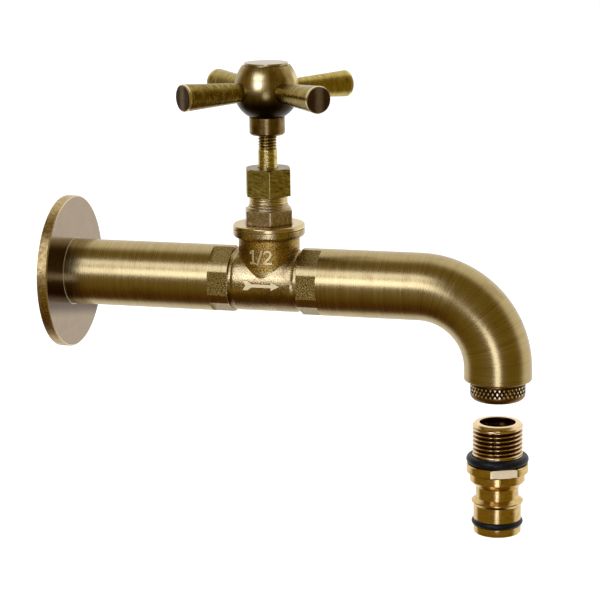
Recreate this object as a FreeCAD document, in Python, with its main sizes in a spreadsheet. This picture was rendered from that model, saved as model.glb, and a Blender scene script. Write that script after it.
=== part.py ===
"""Wall tap with a cross handle, a bent spout, a screwed outlet strainer and a loose hose adaptor.

Frame: the origin is the middle of the wall flange's back face, +X runs out of the wall along the
pipe, +Z is up. Millimetres. Three lines place everything: the pipe line (X), the valve line
(vertical, at valve_x) and the mouth line (vertical, at the end of the spout's bend).
"""

import FreeCAD, Part
import math
import os
import re

import Sketcher

os.makedirs("parts", exist_ok=True)
doc = FreeCAD.newDocument("CrossHandleTap")

# ---------------------------------------------------------------- driving sizes
# name, value, what it is. Diameters, lengths and heights in mm, angles in degrees.
SIZES = [
    # wall side
    ("flange_diameter", 64.9, "wall flange, outside"),
    ("flange_thickness", 4.4, "wall flange"),
    ("flange_bevel", 0.45, "bevel round the flange's front edge"),
    ("tube_diameter", 28.0, "inlet tube and spout, outside"),
    ("tube_wall", 1.2, "inlet tube and spout"),
    ("tube_setback", 0.6, "end of the inlet tube, from the wall"),
    ("valve_x", 91.87, "valve line, from the wall"),
    # pipe thread G 1/2
    ("pipe_thread_diameter", 20.955, "crest of the pipe thread"),
    ("pipe_thread_pitch", 1.8143, "pitch of the pipe thread"),
    ("pipe_thread_depth", 1.162, "crest to root"),
    ("inlet_setback", 0.3, "socket for the wall's pipe, from the wall"),
    ("inlet_thread_turns", 7, "turns of thread in that socket"),
    ("inlet_socket_floor", 3.0, "bottom of that socket"),
    ("nipple_shank", 19.0, "plain part of the inlet nipple"),
    ("nipple_bore", 14.0, "waterway of the nipple and of the body's inlet"),
    ("centring_width", 8.0, "ring that centres the tube on the nipple"),
    ("centring_offset", 40.0, "that ring, from the wall"),
    # fits
    ("slip_fit", 0.05, "radial gap of parts that are assembled and stay put"),
    ("running_fit", 0.06, "radial gap of parts that turn or slide"),
    ("rest_gap", 0.05, "gap under faces that meet when the valve is shut"),
    # valve body
    ("collar_flats", 26.0, "six-sided collars, across the flats"),
    ("collar_outer", 23.4, "far end of each collar, from the valve line"),
    ("globe_diameter", 26.3, "cast middle of the body"),
    ("globe_half_length", 14.9, "from the valve line to the end of the middle"),
    ("globe_shoulder", 3.0, "rounding of the middle's ends, along the pipe"),
    ("globe_end_drop", 1.5, "how far that rounding falls"),
    ("neck_diameter", 25.6, "upright neck of the body"),
    ("neck_height", 22.1, "top of the neck's rim, from the pipe line"),
    ("rim_diameter", 30.0, "rim of the neck and of the bonnet"),
    ("rim_thickness", 3.2, "rim of the neck"),
    ("rim_rounding", 1.3, "under the neck's rim"),
    ("spigot_length", 5.0, "spigots that enter the tube and the spout"),
    ("socket_depth", 11.0, "threaded socket for the nipple"),
    ("inlet_gasket_thickness", 1.5, "washer at the bottom of that socket"),
    ("chamber_diameter", 20.0, "water chambers and outlet"),
    ("chamber_half_length", 13.0, "from the valve line to the chambers' far ends"),
    ("partition_thickness", 3.0, "wall that carries the seat"),
    ("partition_reach", 8.0, "from the valve line to the partition's upright walls"),
    ("neck_bore", 20.8, "bore of the neck, where the bonnet screws in"),
    ("seat_port", 11.0, "hole through the seat"),
    ("seat_diameter", 14.4, "raised seat ring"),
    ("seat_height", 1.0, "seat ring above the partition"),
    ("mark_height", 0.4, "raised size mark and arrow"),
    ("size_mark_height", 6.0, "figures of the size mark"),
    ("size_mark_centre", 12.0, "their middle, above the pipe line"),
    ("arrow_length", 16.0, "flow arrow"),
    ("arrow_width", 4.0, "flow arrow, across the head"),
    # bonnet and gland
    ("bonnet_gasket_thickness", 0.4, "washer between the rims"),
    ("bonnet_gasket_inset", 0.6, "that washer, inside the rims"),
    ("bonnet_rim_thickness", 1.7, "rim of the bonnet"),
    ("bonnet_rim_rounding", 0.7, "upper edge of that rim"),
    ("bonnet_spigot_length", 9.6, "screwed part of the bonnet, in the neck"),
    ("bonnet_flats", 19.0, "six-sided part of the bonnet, across the flats"),
    ("bonnet_hex_height", 6.1, "six-sided part of the bonnet"),
    ("bonnet_hex_round", 21.6, "diameter that its cast corners are rounded to"),
    ("bonnet_taper_diameter", 18.2, "foot of the taper over the six sides"),
    ("bonnet_taper_height", 2.5, "that taper"),
    ("bonnet_neck_diameter", 15.96, "threaded top of the bonnet"),
    ("bonnet_neck_shown", 3.4, "the part of it below the gland nut"),
    ("bonnet_neck_hidden", 6.8, "the part of it inside the gland nut"),
    ("packing_pocket_depth", 5.5, "pocket for the packing"),
    ("packing_pocket_diameter", 12.4, "pocket for the packing"),
    ("packing_height", 3.5, "packing ring"),
    ("follower_height", 2.6, "brass ring that presses the packing"),
    ("gland_nut_height", 11.5, "gland nut"),
    ("gland_nut_flats", 18.0, "gland nut, across the flats"),
    ("gland_nut_round", 20.6, "diameter that its corners are turned to"),
    ("gland_nut_hole", 8.9, "hole that the spindle passes"),
    ("gland_nut_bevel", 1.0, "upper edge of the gland nut, across"),
    ("gland_nut_bevel_height", 0.6, "upper edge of the gland nut, down"),
    ("hex_angle", 20.0, "six-sided parts, turned from the front"),
    # valve mechanism
    ("valve_lift", 5.0, "travel of the valve plate"),
    ("lift_margin", 0.5, "spindle's shoulder below the bonnet's when open"),
    ("seat_washer_diameter", 13.4, "rubber washer"),
    ("seat_washer_thickness", 3.0, "rubber washer"),
    ("plate_diameter", 13.8, "valve plate"),
    ("plate_thickness", 2.0, "valve plate"),
    ("plate_screw", 3.0, "screwed stud under the plate"),
    ("plate_screw_end", 0.4, "end of that stud, below its nut"),
    ("washer_nut_flats", 5.5, "nut that holds the rubber washer"),
    ("washer_nut_height", 2.4, "nut that holds the rubber washer"),
    ("jumper_stem", 6.0, "stem over the plate"),
    ("jumper_stem_length", 8.0, "stem over the plate"),
    ("spindle_diameter", 8.0, "spindle"),
    ("spindle_nose", 9.8, "plain foot of the spindle"),
    ("spindle_nose_length", 6.0, "plain foot of the spindle"),
    ("stem_hole_spare", 1.0, "room over the plate's stem, in the spindle"),
    ("spindle_screw", 11.0, "screw of the spindle, at its pitch line"),
    ("spindle_screw_length", 10.5, "screw of the spindle"),
    ("spindle_shown", 13.8, "from the gland nut to the handle, valve shut"),
    ("spindle_bevel", 0.6, "upper end of the spindle"),
    # handle
    ("handle_angle", 48.44, "first arm, turned from the pipe line"),
    ("boss_diameter", 14.74, "boss under the ball"),
    ("boss_height", 7.3, "boss under the ball"),
    ("boss_bevel", 0.7, "lower edge of the boss"),
    ("boss_waist", 0.4, "ball inside the boss's upper edge"),
    ("ball_diameter", 27.1, "ball"),
    ("ball_lower", 10.85, "from the boss to the ball's widest line"),
    ("ball_upper", 10.55, "from there to the flat on top"),
    ("ball_flat", 20.0, "flat on top of the ball"),
    ("nut_recess_diameter", 16.4, "recess under the cap"),
    ("nut_recess_depth", 6.2, "recess under the cap"),
    ("handle_nut_flats", 13.0, "nut that locks the handle"),
    ("handle_nut_height", 4.0, "nut that locks the handle"),
    ("cap_diameter", 18.0, "cap"),
    ("cap_thickness", 0.75, "cap, at its edge"),
    ("cap_crown", 0.12, "rise of the cap's middle"),
    ("cap_gap", 0.35, "shadow line under the cap"),
    ("cap_plug", 1.6, "depth of the cap's plug in the recess"),
    ("arm_reach", 39.9, "end of each arm, from the valve line"),
    ("arm_seat", 12.75, "arm's shoulder, from the valve line"),
    ("arm_root", 8.0, "arm at its shoulder"),
    ("arm_end", 11.2, "arm at its end"),
    ("arm_rounding", 0.7, "edge of the arm's end"),
    ("arm_count", 4, "arms"),
    ("tenon_diameter", 6.0, "screwed stud of each arm"),
    ("tenon_length", 5.4, "screwed stud of each arm"),
    # spout
    ("spout_run", 64.51, "straight part of the spout, from the valve line"),
    ("bend_radius", 32.79, "centre line of the bend"),
    ("spout_drop", 37.57, "mouth of the spout, below the pipe line"),
    ("mouth_rounding", 0.55, "edge of the mouth"),
    # outlet bush and strainer
    ("bush_inset", 0.5, "outlet bush, inside the mouth"),
    ("bush_height", 10.0, "outlet bush"),
    ("bush_ledge", 3.0, "ledge at the top of the bush"),
    ("strainer_bore", 17.4, "inside of the strainer's housing"),
    ("strainer_seal_thickness", 1.5, "washer over the strainer"),
    ("strainer_neck", 1.83, "gap between the mouth and the knurled ring"),
    ("knurl_diameter", 22.78, "knurled ring"),
    ("knurl_height", 3.7, "knurled band"),
    ("knurl_depth", 0.42, "depth of the knurl"),
    ("knurl_count", 38, "cuts each way round the ring"),
    ("knurl_angle", 32.0, "cuts, from the upright"),
    ("strainer_foot", 2.8, "rounded foot below the knurl"),
    ("strainer_mouth", 15.6, "opening of the foot"),
    ("strainer_mouth_land", 1.0, "flat ring round that opening"),
    ("strainer_lip", 1.0, "lip that carries the screen"),
    ("screen_thickness", 0.8, "perforated screen"),
    ("screen_hole", 1.15, "holes of the screen"),
    ("screen_pitch", 1.75, "spacing of those holes"),
    ("cartridge_wall", 1.0, "inner cartridge"),
    ("cartridge_roof", 1.4, "perforated roof of the cartridge"),
    ("cartridge_holes", 12, "holes in that roof"),
    ("cartridge_hole_diameter", 1.38, "each of those holes"),
    ("cartridge_hole_circle", 10.4, "circle that they stand on"),
    # hose adaptor
    ("adaptor_drop", 55.8, "top of the loose adaptor, below the pipe line"),
    ("adaptor_bore", 11.0, "waterway of the adaptor"),
    ("adaptor_mouth_bore", 15.0, "wider mouth at the top"),
    ("adaptor_mouth_depth", 3.0, "wider mouth at the top"),
    ("adaptor_lead", 1.0, "bevelled start of the thread"),
    ("adaptor_thread_turns", 7, "turns of thread"),
    ("adaptor_seat_diameter", 18.4, "groove under the thread, for the seal ring"),
    ("adaptor_seat_height", 3.8, "groove under the thread"),
    ("seal_ring_section", 3.7, "seal ring under the thread, thickness"),
    ("seal_ring_diameter", 25.9, "seal ring under the thread, outside"),
    ("adaptor_collar", 25.66, "collar with the spanner flats"),
    ("adaptor_collar_height", 3.7, "collar with the spanner flats"),
    ("adaptor_flats", 23.1, "across the two spanner flats"),
    ("adaptor_flats_angle", 25.0, "spanner flats, turned from the front"),
    ("adaptor_step", 22.78, "step under the collar"),
    ("adaptor_step_height", 3.5, "step under the collar"),
    ("adaptor_cone_height", 2.65, "cone down to the catch groove"),
    ("catch_groove", 17.8, "groove that a hose socket catches in"),
    ("catch_groove_height", 4.6, "groove that a hose socket catches in"),
    ("catch_lip", 21.5, "lip under the catch groove"),
    ("catch_lip_height", 3.1, "lip, with its two slopes"),
    ("nose_diameter", 19.78, "nose of the adaptor"),
    ("nose_length", 12.4, "nose of the adaptor"),
    ("nose_ring_offset", 7.5, "middle of the nose ring, below the lip"),
    ("nose_ring_section", 2.7, "nose ring, thickness"),
    ("nose_ring_diameter", 21.38, "nose ring, outside"),
    ("nose_rounding", 1.0, "lower edge of the nose"),
    ("adaptor_bevel", 0.35, "small bevels of the adaptor"),
]

sheet = doc.addObject("Spreadsheet::Sheet", "Sizes")
for row, (alias, value, meaning) in enumerate(SIZES, start=1):
    sheet.set(f"A{row}", alias)
    sheet.set(f"B{row}", str(value))
    sheet.set(f"C{row}", meaning)
    sheet.setAlias(f"B{row}", alias)
doc.recompute()
ALIASES = {alias for alias, value, meaning in SIZES}


def bound(text):
    """An expression over the sheet: every alias in the text gets the sheet's name in front."""

    def with_sheet(word):
        return f"Sizes.{word.group()}" if word.group() in ALIASES else word.group()

    return re.sub(r"[a-z_]+[a-z]", with_sheet, text)


def number(text):
    """What such an expression comes to now."""
    return float(sheet.evalExpression(bound(text)))


def half(text):
    return f"({text} / 2)"


# ---------------------------------------------------------------- places that follow from the sizes
BORE = "(tube_diameter / 2 - tube_wall)"  # radius of the bore of the tube and of the spout
SPIGOT_END = "(collar_outer + spigot_length)"  # from the valve line
SOCKET_FLOOR = f"({SPIGOT_END} - socket_depth)"  # from the valve line, towards the wall
NIPPLE_END = f"({SOCKET_FLOOR} + inlet_gasket_thickness)"
PARTITION_TOP = "(partition_thickness / 2)"
SEAT_TOP = f"({PARTITION_TOP} + seat_height)"
PLATE_FOOT = f"({SEAT_TOP} + seat_washer_thickness)"
PLATE_TOP = f"({PLATE_FOOT} + plate_thickness)"
SPINDLE_FOOT = f"({PLATE_TOP} + rest_gap)"
SCREW_FOOT = f"({SPINDLE_FOOT} + spindle_nose_length)"
SCREW_TOP = f"({SCREW_FOOT} + spindle_screw_length)"
BONNET_SHOULDER = f"({SCREW_TOP} + valve_lift + lift_margin)"
BONNET_RIM_FOOT = "(neck_height + bonnet_gasket_thickness)"
BONNET_RIM_TOP = f"({BONNET_RIM_FOOT} + bonnet_rim_thickness)"
BONNET_HEX_TOP = f"({BONNET_RIM_TOP} + bonnet_hex_height)"
BONNET_TAPER_TOP = f"({BONNET_HEX_TOP} + bonnet_taper_height)"
NUT_FOOT = f"({BONNET_TAPER_TOP} + bonnet_neck_shown)"
BONNET_TOP = f"({NUT_FOOT} + bonnet_neck_hidden)"
POCKET_FLOOR = f"({BONNET_TOP} - packing_pocket_depth)"
PACKING_TOP = f"({POCKET_FLOOR} + packing_height)"
FOLLOWER_TOP = f"({PACKING_TOP} + follower_height)"
NUT_TOP = f"({NUT_FOOT} + gland_nut_height)"
BOSS_FOOT = f"({NUT_TOP} + spindle_shown)"
BOSS_TOP = f"({BOSS_FOOT} + boss_height)"
BALL_MIDDLE = f"({BOSS_TOP} + ball_lower)"
BALL_TOP = f"({BALL_MIDDLE} + ball_upper)"
RECESS_FLOOR = f"({BALL_TOP} - nut_recess_depth)"
MOUTH_X = "(valve_x + spout_run + bend_radius)"
THREAD_RADIUS = half("pipe_thread_diameter")
THREAD_ROOT = f"({THREAD_RADIUS} - pipe_thread_depth)"
# a thread that doesn't show is drawn as a plain cylinder at its pitch line
PITCH_LINE = f"({THREAD_RADIUS} - pipe_thread_depth / 2)"
STRAINER_TOP = "(bush_inset + bush_height - bush_ledge - strainer_seal_thickness)"  # above the mouth
KNURL_FOOT = "(strainer_neck + knurl_height)"  # below the mouth
STRAINER_FOOT = f"({KNURL_FOOT} + strainer_foot)"


# ---------------------------------------------------------------- ways of making a piece
def plane_of(body, role):
    """One of a body's own origin planes, by its role."""
    return next(feature for feature in body.Origin.OriginFeatures if feature.Role == role)


def new_body(label, x="0", z="0", turn=None):
    """A body set on the valve line, the mouth line or the pipe line, turned about the upright."""
    body = doc.addObject("PartDesign::Body", label)
    body.Label = label
    if turn:
        body.Placement.Rotation = FreeCAD.Rotation(FreeCAD.Vector(0, 0, 1), number(turn))
        body.setExpression("Placement.Rotation.Angle", bound(f"({turn}) * 1 deg"))
    if x != "0":
        body.setExpression("Placement.Base.x", bound(x))
    if z != "0":
        body.setExpression("Placement.Base.z", bound(z))
    return body


def new_sketch(body, name, role="XZ_Plane", offset=None):
    sketch = body.newObject("Sketcher::SketchObject", name)
    sketch.AttachmentSupport = [(plane_of(body, role), "")]
    sketch.MapMode = "FlatFace"
    if offset:
        sketch.setExpression("AttachmentOffset.Base.z", bound(offset))
    return sketch


def arc_between(start, end, radius, way):
    """The short arc of a radius from start to end; way 1 is anticlockwise, -1 clockwise."""
    middle = (start + end) / 2
    chord = end - start
    rise = math.sqrt(max(radius**2 - (chord.Length / 2) ** 2, 0.0))
    side = FreeCAD.Vector(-chord.y, chord.x, 0).normalize()
    centre = middle + side * rise * way
    first, last = (start, end) if way > 0 else (end, start)
    circle = Part.Circle(centre, FreeCAD.Vector(0, 0, 1), radius)
    from_angle = math.atan2(first.y - centre.y, first.x - centre.x)
    to_angle = math.atan2(last.y - centre.y, last.x - centre.x)
    return Part.ArcOfCircle(circle, from_angle, to_angle)


def draw_outline(sketch, corners):
    """A closed outline whose corners and arcs are held by expressions.

    A corner is (across, up), or (across, up, radius, way) where an arc runs on to the next one.
    """
    places = [FreeCAD.Vector(number(corner[0]), number(corner[1]), 0) for corner in corners]
    first_edge = sketch.GeometryCount
    edges = []
    for index, corner in enumerate(corners):
        start, end = places[index], places[(index + 1) % len(corners)]
        if len(corner) == 4:
            edges.append(arc_between(start, end, number(corner[2]), corner[3]))
        else:
            edges.append(Part.LineSegment(start, end))
    sketch.addGeometry(edges, False)
    constraints = []
    formulas = []

    def hold(kind, parts, text):
        """One measured constraint, with the expression that drives it."""
        formulas.append((sketch.ConstraintCount + len(constraints), bound(text)))
        constraints.append(Sketcher.Constraint(kind, *parts, number(text)))

    for index, corner in enumerate(corners):
        edge = first_edge + index
        before = first_edge + (index - 1) % len(corners)
        backward = len(corner) == 4 and corner[3] < 0
        before_backward = len(corners[index - 1]) == 4 and corners[index - 1][3] < 0
        start_point = 2 if backward else 1
        before_point = 1 if before_backward else 2
        constraints.append(Sketcher.Constraint("Coincident", before, before_point, edge, start_point))
        for kind, text, axis in (("DistanceX", corner[0], -2), ("DistanceY", corner[1], -1)):
            if text == "0":
                constraints.append(Sketcher.Constraint("PointOnObject", edge, start_point, axis))
            else:
                hold(kind, (-1, 1, edge, start_point), text)
        if len(corner) == 4:
            hold("Radius", (edge,), corner[2])
    sketch.addConstraint(constraints)
    for index, text in formulas:
        sketch.setExpression(f"Constraints[{index}]", text)


def draw_circle(sketch, across, up, radius):
    """A circle whose centre and radius are held by expressions."""
    centre = FreeCAD.Vector(number(across), number(up), 0)
    edge = sketch.addGeometry(Part.Circle(centre, FreeCAD.Vector(0, 0, 1), number(radius)), False)
    for kind, text, axis in (("DistanceX", across, -2), ("DistanceY", up, -1)):
        if text == "0":
            sketch.addConstraint(Sketcher.Constraint("PointOnObject", edge, 3, axis))
        else:
            index = sketch.addConstraint(Sketcher.Constraint(kind, -1, 1, edge, 3, number(text)))
            sketch.setExpression(f"Constraints[{index}]", bound(text))
    index = sketch.addConstraint(Sketcher.Constraint("Radius", edge, number(radius)))
    sketch.setExpression(f"Constraints[{index}]", bound(radius))


def turn_outline(body, corners, axis="V_Axis", name="Turned"):
    """A revolution of an outline about the body's upright (V_Axis) or its X axis (H_Axis)."""
    sketch = new_sketch(body, f"{name}Outline")
    draw_outline(sketch, corners)
    turned = body.newObject("PartDesign::Revolution", name)
    turned.Profile = sketch
    turned.ReferenceAxis = (sketch, [axis])
    turned.Angle = 360
    sketch.Visibility = False
    return turned


def ring_piece(label, inner, outer, foot, top, x="valve_x", z="0"):
    """A plain turned ring on an upright line."""
    body = new_body(label, x, z)
    turn_outline(body, [(inner, foot), (outer, foot), (outer, top), (inner, top)])
    return body


def hex_corners(flats):
    """The six corners of a hexagon with two sides facing front and back."""
    corner = f"({flats} / sqrt(3))"
    return [
        (f"({corner})", "0"),
        (f"({corner} / 2)", f"({flats} / 2)"),
        (f"(-{corner} / 2)", f"({flats} / 2)"),
        (f"(-{corner})", "0"),
        (f"(-{corner} / 2)", f"(-{flats} / 2)"),
        (f"({corner} / 2)", f"(-{flats} / 2)"),
    ]


def pad(body, sketch, length, name="Padded"):
    padded = body.newObject("PartDesign::Pad", name)
    padded.Profile = sketch
    padded.Length = number(length)
    padded.setExpression("Length", bound(length))
    sketch.Visibility = False
    return padded


def cylinder(name, radius, length, base, axis="z"):
    """A cylinder primitive from a base point along x, y or z; base is three expressions."""
    shape = doc.addObject("Part::Cylinder", name)
    turns = {
        "x": FreeCAD.Rotation(FreeCAD.Vector(0, 1, 0), 90),
        "y": FreeCAD.Rotation(FreeCAD.Vector(1, 0, 0), -90),
        "z": FreeCAD.Rotation(),
    }
    shape.Placement = FreeCAD.Placement(FreeCAD.Vector(), turns[axis])
    shape.setExpression("Radius", bound(radius))
    shape.setExpression("Height", bound(length))
    for letter, text in zip("xyz", base):
        shape.setExpression(f"Placement.Base.{letter}", bound(text))
    return shape


def box(name, sizes, base):
    """A box primitive; sizes and base are three expressions each."""
    shape = doc.addObject("Part::Box", name)
    for side, text in zip(("Length", "Width", "Height"), sizes):
        shape.setExpression(side, bound(text))
    for letter, text in zip("xyz", base):
        shape.setExpression(f"Placement.Base.{letter}", bound(text))
    return shape


def fuse(name, shapes):
    joined = doc.addObject("Part::MultiFuse", name)
    joined.Shapes = shapes
    joined.Refine = True
    return joined


def common(name, shapes):
    shared = doc.addObject("Part::MultiCommon", name)
    shared.Shapes = shapes
    return shared


def cut(name, base, tool):
    result = doc.addObject("Part::Cut", name)
    result.Base = base
    result.Tool = tool
    result.Refine = True
    return result


def thread_corners(start, turns, direction):
    """Corners of a V thread as (along, radius), from start onwards; direction is "+" or "-".

    The thread is drawn as a row of ridges at its pitch: crest flats at the crest diameter.
    """
    corners = []
    for turn in range(turns):
        ridge = f"{start} {direction} {turn} * pipe_thread_pitch"
        corners += [
            (f"({ridge} {direction} pipe_thread_pitch * 0.08)", THREAD_ROOT),
            (f"({ridge} {direction} pipe_thread_pitch * 0.42)", THREAD_RADIUS),
            (f"({ridge} {direction} pipe_thread_pitch * 0.58)", THREAD_RADIUS),
            (f"({ridge} {direction} pipe_thread_pitch * 0.92)", THREAD_ROOT),
        ]
    return corners


# ---------------------------------------------------------------- wall side
def make_wall_flange():
    """Round plate with a bevelled front edge; the tube passes through its middle."""
    body = new_body("wall_flange")
    bore = "(tube_diameter / 2 + slip_fit)"
    edge = half("flange_diameter")
    corners = [
        ("0", bore),
        ("0", edge),
        ("(flange_thickness - flange_bevel)", edge),
        ("flange_thickness", f"({edge} - flange_bevel)"),
        ("flange_thickness", bore),
    ]
    turn_outline(body, corners, "H_Axis")
    return body


def make_inlet_nipple():
    """Pipe that carries the tap: socket threaded for the wall's pipe, plain shank, screwed end."""
    body = new_body("inlet_nipple")
    turns = int(number("inlet_thread_turns"))
    thread_start = "(inlet_setback + pipe_thread_pitch * 0.08)"
    thread_end = f"({thread_start} + {turns} * pipe_thread_pitch)"
    socket = f"({BORE} - slip_fit)"
    socket_end = f"({thread_end} + inlet_socket_floor)"
    far_end = f"(valve_x - {NIPPLE_END})"
    shank_end = f"(valve_x - {SPIGOT_END})"
    corners = [
        ("inlet_setback", THREAD_ROOT),
        ("inlet_setback", socket),
        (socket_end, socket),
        (socket_end, half("nipple_shank")),
        (shank_end, half("nipple_shank")),
        (shank_end, PITCH_LINE),
        (far_end, PITCH_LINE),
        (far_end, half("nipple_bore")),
        (thread_end, half("nipple_bore")),
        (thread_end, THREAD_ROOT),
    ]
    corners += reversed(thread_corners(thread_start, turns, "+"))
    turn_outline(body, corners, "H_Axis")
    return body


def make_inlet_rings():
    """Ring that centres the tube on the nipple, and the washer in the body's socket."""
    centring = new_body("tube_centring_ring")
    inner = "(nipple_shank / 2 + slip_fit)"
    outer = f"({BORE} - slip_fit)"
    far_end = "(centring_offset + centring_width)"
    corners = [("centring_offset", inner), ("centring_offset", outer), (far_end, outer), (far_end, inner)]
    turn_outline(centring, corners, "H_Axis")

    gasket = new_body("inlet_gasket")
    near = f"(valve_x - {NIPPLE_END})"
    far = f"(valve_x - {SOCKET_FLOOR})"
    corners = [
        (near, half("nipple_bore")),
        (near, PITCH_LINE),
        (far, PITCH_LINE),
        (far, half("nipple_bore")),
    ]
    turn_outline(gasket, corners, "H_Axis")
    return [centring, gasket]


def make_inlet_tube():
    """Outer tube from the wall to the body, over the nipple."""
    body = new_body("inlet_tube")
    far_end = "(valve_x - collar_outer)"
    corners = [
        ("tube_setback", BORE),
        ("tube_setback", half("tube_diameter")),
        (far_end, half("tube_diameter")),
        (far_end, BORE),
    ]
    turn_outline(body, corners, "H_Axis")
    return body


# ---------------------------------------------------------------- valve body
def size_mark_outlines():
    """The figures 1/2 as closed outlines, in units of their height, from the lower left."""
    one = [(0.02, 0.0), (0.5, 0.0), (0.5, 0.13), (0.34, 0.13), (0.34, 1.0), (0.2, 1.0), (0.0, 0.82)]
    one += [(0.0, 0.68), (0.18, 0.78), (0.18, 0.13), (0.02, 0.13)]
    stroke = [(0.5, -0.06), (0.64, -0.06), (1.0, 1.0), (0.86, 1.0)]
    two = [(1.0, 0.0), (1.6, 0.0), (1.6, 0.14), (1.22, 0.14), (1.52, 0.5), (1.6, 0.72), (1.5, 0.93)]
    two += [(1.3, 1.0), (1.1, 0.93), (1.0, 0.76), (1.13, 0.71), (1.2, 0.83), (1.3, 0.87), (1.42, 0.81)]
    two += [(1.45, 0.7), (1.38, 0.53), (1.0, 0.13)]
    return [one, stroke, two]


SIZE_MARK_WIDTH = 1.6  # of the three figures together, in heights


def make_size_mark():
    """Raised figures on the front of the neck, cut off at one height over its round wall."""
    body = new_body("SizeMarkBlank", "valve_x")
    sketch = new_sketch(body, "SizeMarkOutline")
    for outline in size_mark_outlines():
        corners = []
        for across, up in outline:
            shifted = across - SIZE_MARK_WIDTH / 2
            height = f"(size_mark_centre + {up - 0.5:.3f} * size_mark_height)"
            corners.append((f"({shifted:.3f} * size_mark_height)", height))
        draw_outline(sketch, corners)
    pad(body, sketch, "(neck_diameter / 2 + 2 * mark_height)")
    skin = cylinder("SizeMarkSkin", "(neck_diameter / 2 + mark_height)", "neck_height", ("valve_x", "0", "0"))
    return common("SizeMark", [body, skin])


def make_flow_arrow():
    """Raised arrow on the front of the globe, pointing along the flow, with a notched tail."""
    body = new_body("ArrowBlank", "valve_x")
    sketch = new_sketch(body, "ArrowOutline")
    arrow = [
        (-0.5, 0.5), (-0.36, 0.5), (-0.25, 0.17), (0.27, 0.17), (0.27, 0.45), (0.5, 0.0),
        (0.27, -0.45), (0.27, -0.17), (-0.25, -0.17), (-0.36, -0.5), (-0.5, -0.5), (-0.41, 0.0),
    ]  # fmt: skip
    corners = []
    for along, across in arrow:
        corners.append((f"({along} * arrow_length)", f"({across} * arrow_width)" if across else "0"))
    draw_outline(sketch, corners)
    pad(body, sketch, "(globe_diameter / 2 + 2 * mark_height)")
    skin = cylinder(
        "ArrowSkin",
        "(globe_diameter / 2 + mark_height)",
        "arrow_length * 2",
        ("valve_x - arrow_length", "0", "0"),
        "x",
    )
    return common("FlowArrow", [body, skin])


def make_body_outside():
    """Collars with six flats and turned corners, barrel-shaped middle, upright neck and rim."""
    collar = new_body("CollarBar", "valve_x")
    sketch = new_sketch(collar, "CollarOutline", "YZ_Plane", f"-{half('collar_outer')} * 2")
    draw_outline(sketch, [(across, up) for up, across in hex_corners("collar_flats")])
    pad(collar, sketch, "(2 * collar_outer)")
    collar_round = cylinder(
        "CollarRound",
        half("tube_diameter"),
        "(2 * collar_outer)",
        ("valve_x - collar_outer", "0", "0"),
        "x",
    )
    collars = common("Collars", [collar, collar_round])
    waist_radius = "(globe_diameter / 2 - globe_end_drop)"
    gap = new_body("CollarGap", "valve_x")
    turn_outline(
        gap,
        [
            ("(-globe_half_length)", waist_radius),
            ("(-globe_half_length)", "(collar_flats)"),
            ("globe_half_length", "(collar_flats)"),
            ("globe_half_length", waist_radius),
        ],
        "H_Axis",
    )
    collars_apart = cut("CollarsApart", collars, gap)

    globe = new_body("Globe", "valve_x")
    shoulder = "((globe_shoulder^2 + globe_end_drop^2) / (2 * globe_end_drop))"
    straight = "(globe_half_length - globe_shoulder)"
    turn_outline(
        globe,
        [
            ("(-globe_half_length)", "0"),
            ("globe_half_length", "0"),
            ("globe_half_length", waist_radius, shoulder, 1),
            (straight, half("globe_diameter")),
            (f"(-{straight})", half("globe_diameter"), shoulder, 1),
            ("(-globe_half_length)", waist_radius),
        ],
        "H_Axis",
    )
    spigots = cylinder(
        "Spigots",
        f"({BORE} - slip_fit)",
        f"(2 * {SPIGOT_END})",
        (f"valve_x - {SPIGOT_END}", "0", "0"),
        "x",
    )
    neck = new_body("Neck", "valve_x")
    rim_foot = "(neck_height - rim_thickness)"
    turn_outline(
        neck,
        [
            ("0", "0"),
            (half("neck_diameter"), "0"),
            (half("neck_diameter"), rim_foot),
            ("(rim_diameter / 2 - rim_rounding)", rim_foot, "rim_rounding", 1),
            (half("rim_diameter"), f"({rim_foot} + rim_rounding)"),
            (half("rim_diameter"), "neck_height"),
            ("0", "neck_height"),
        ],
    )
    return fuse("BodyOutside", [collars_apart, globe, spigots, neck, make_size_mark(), make_flow_arrow()])


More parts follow.
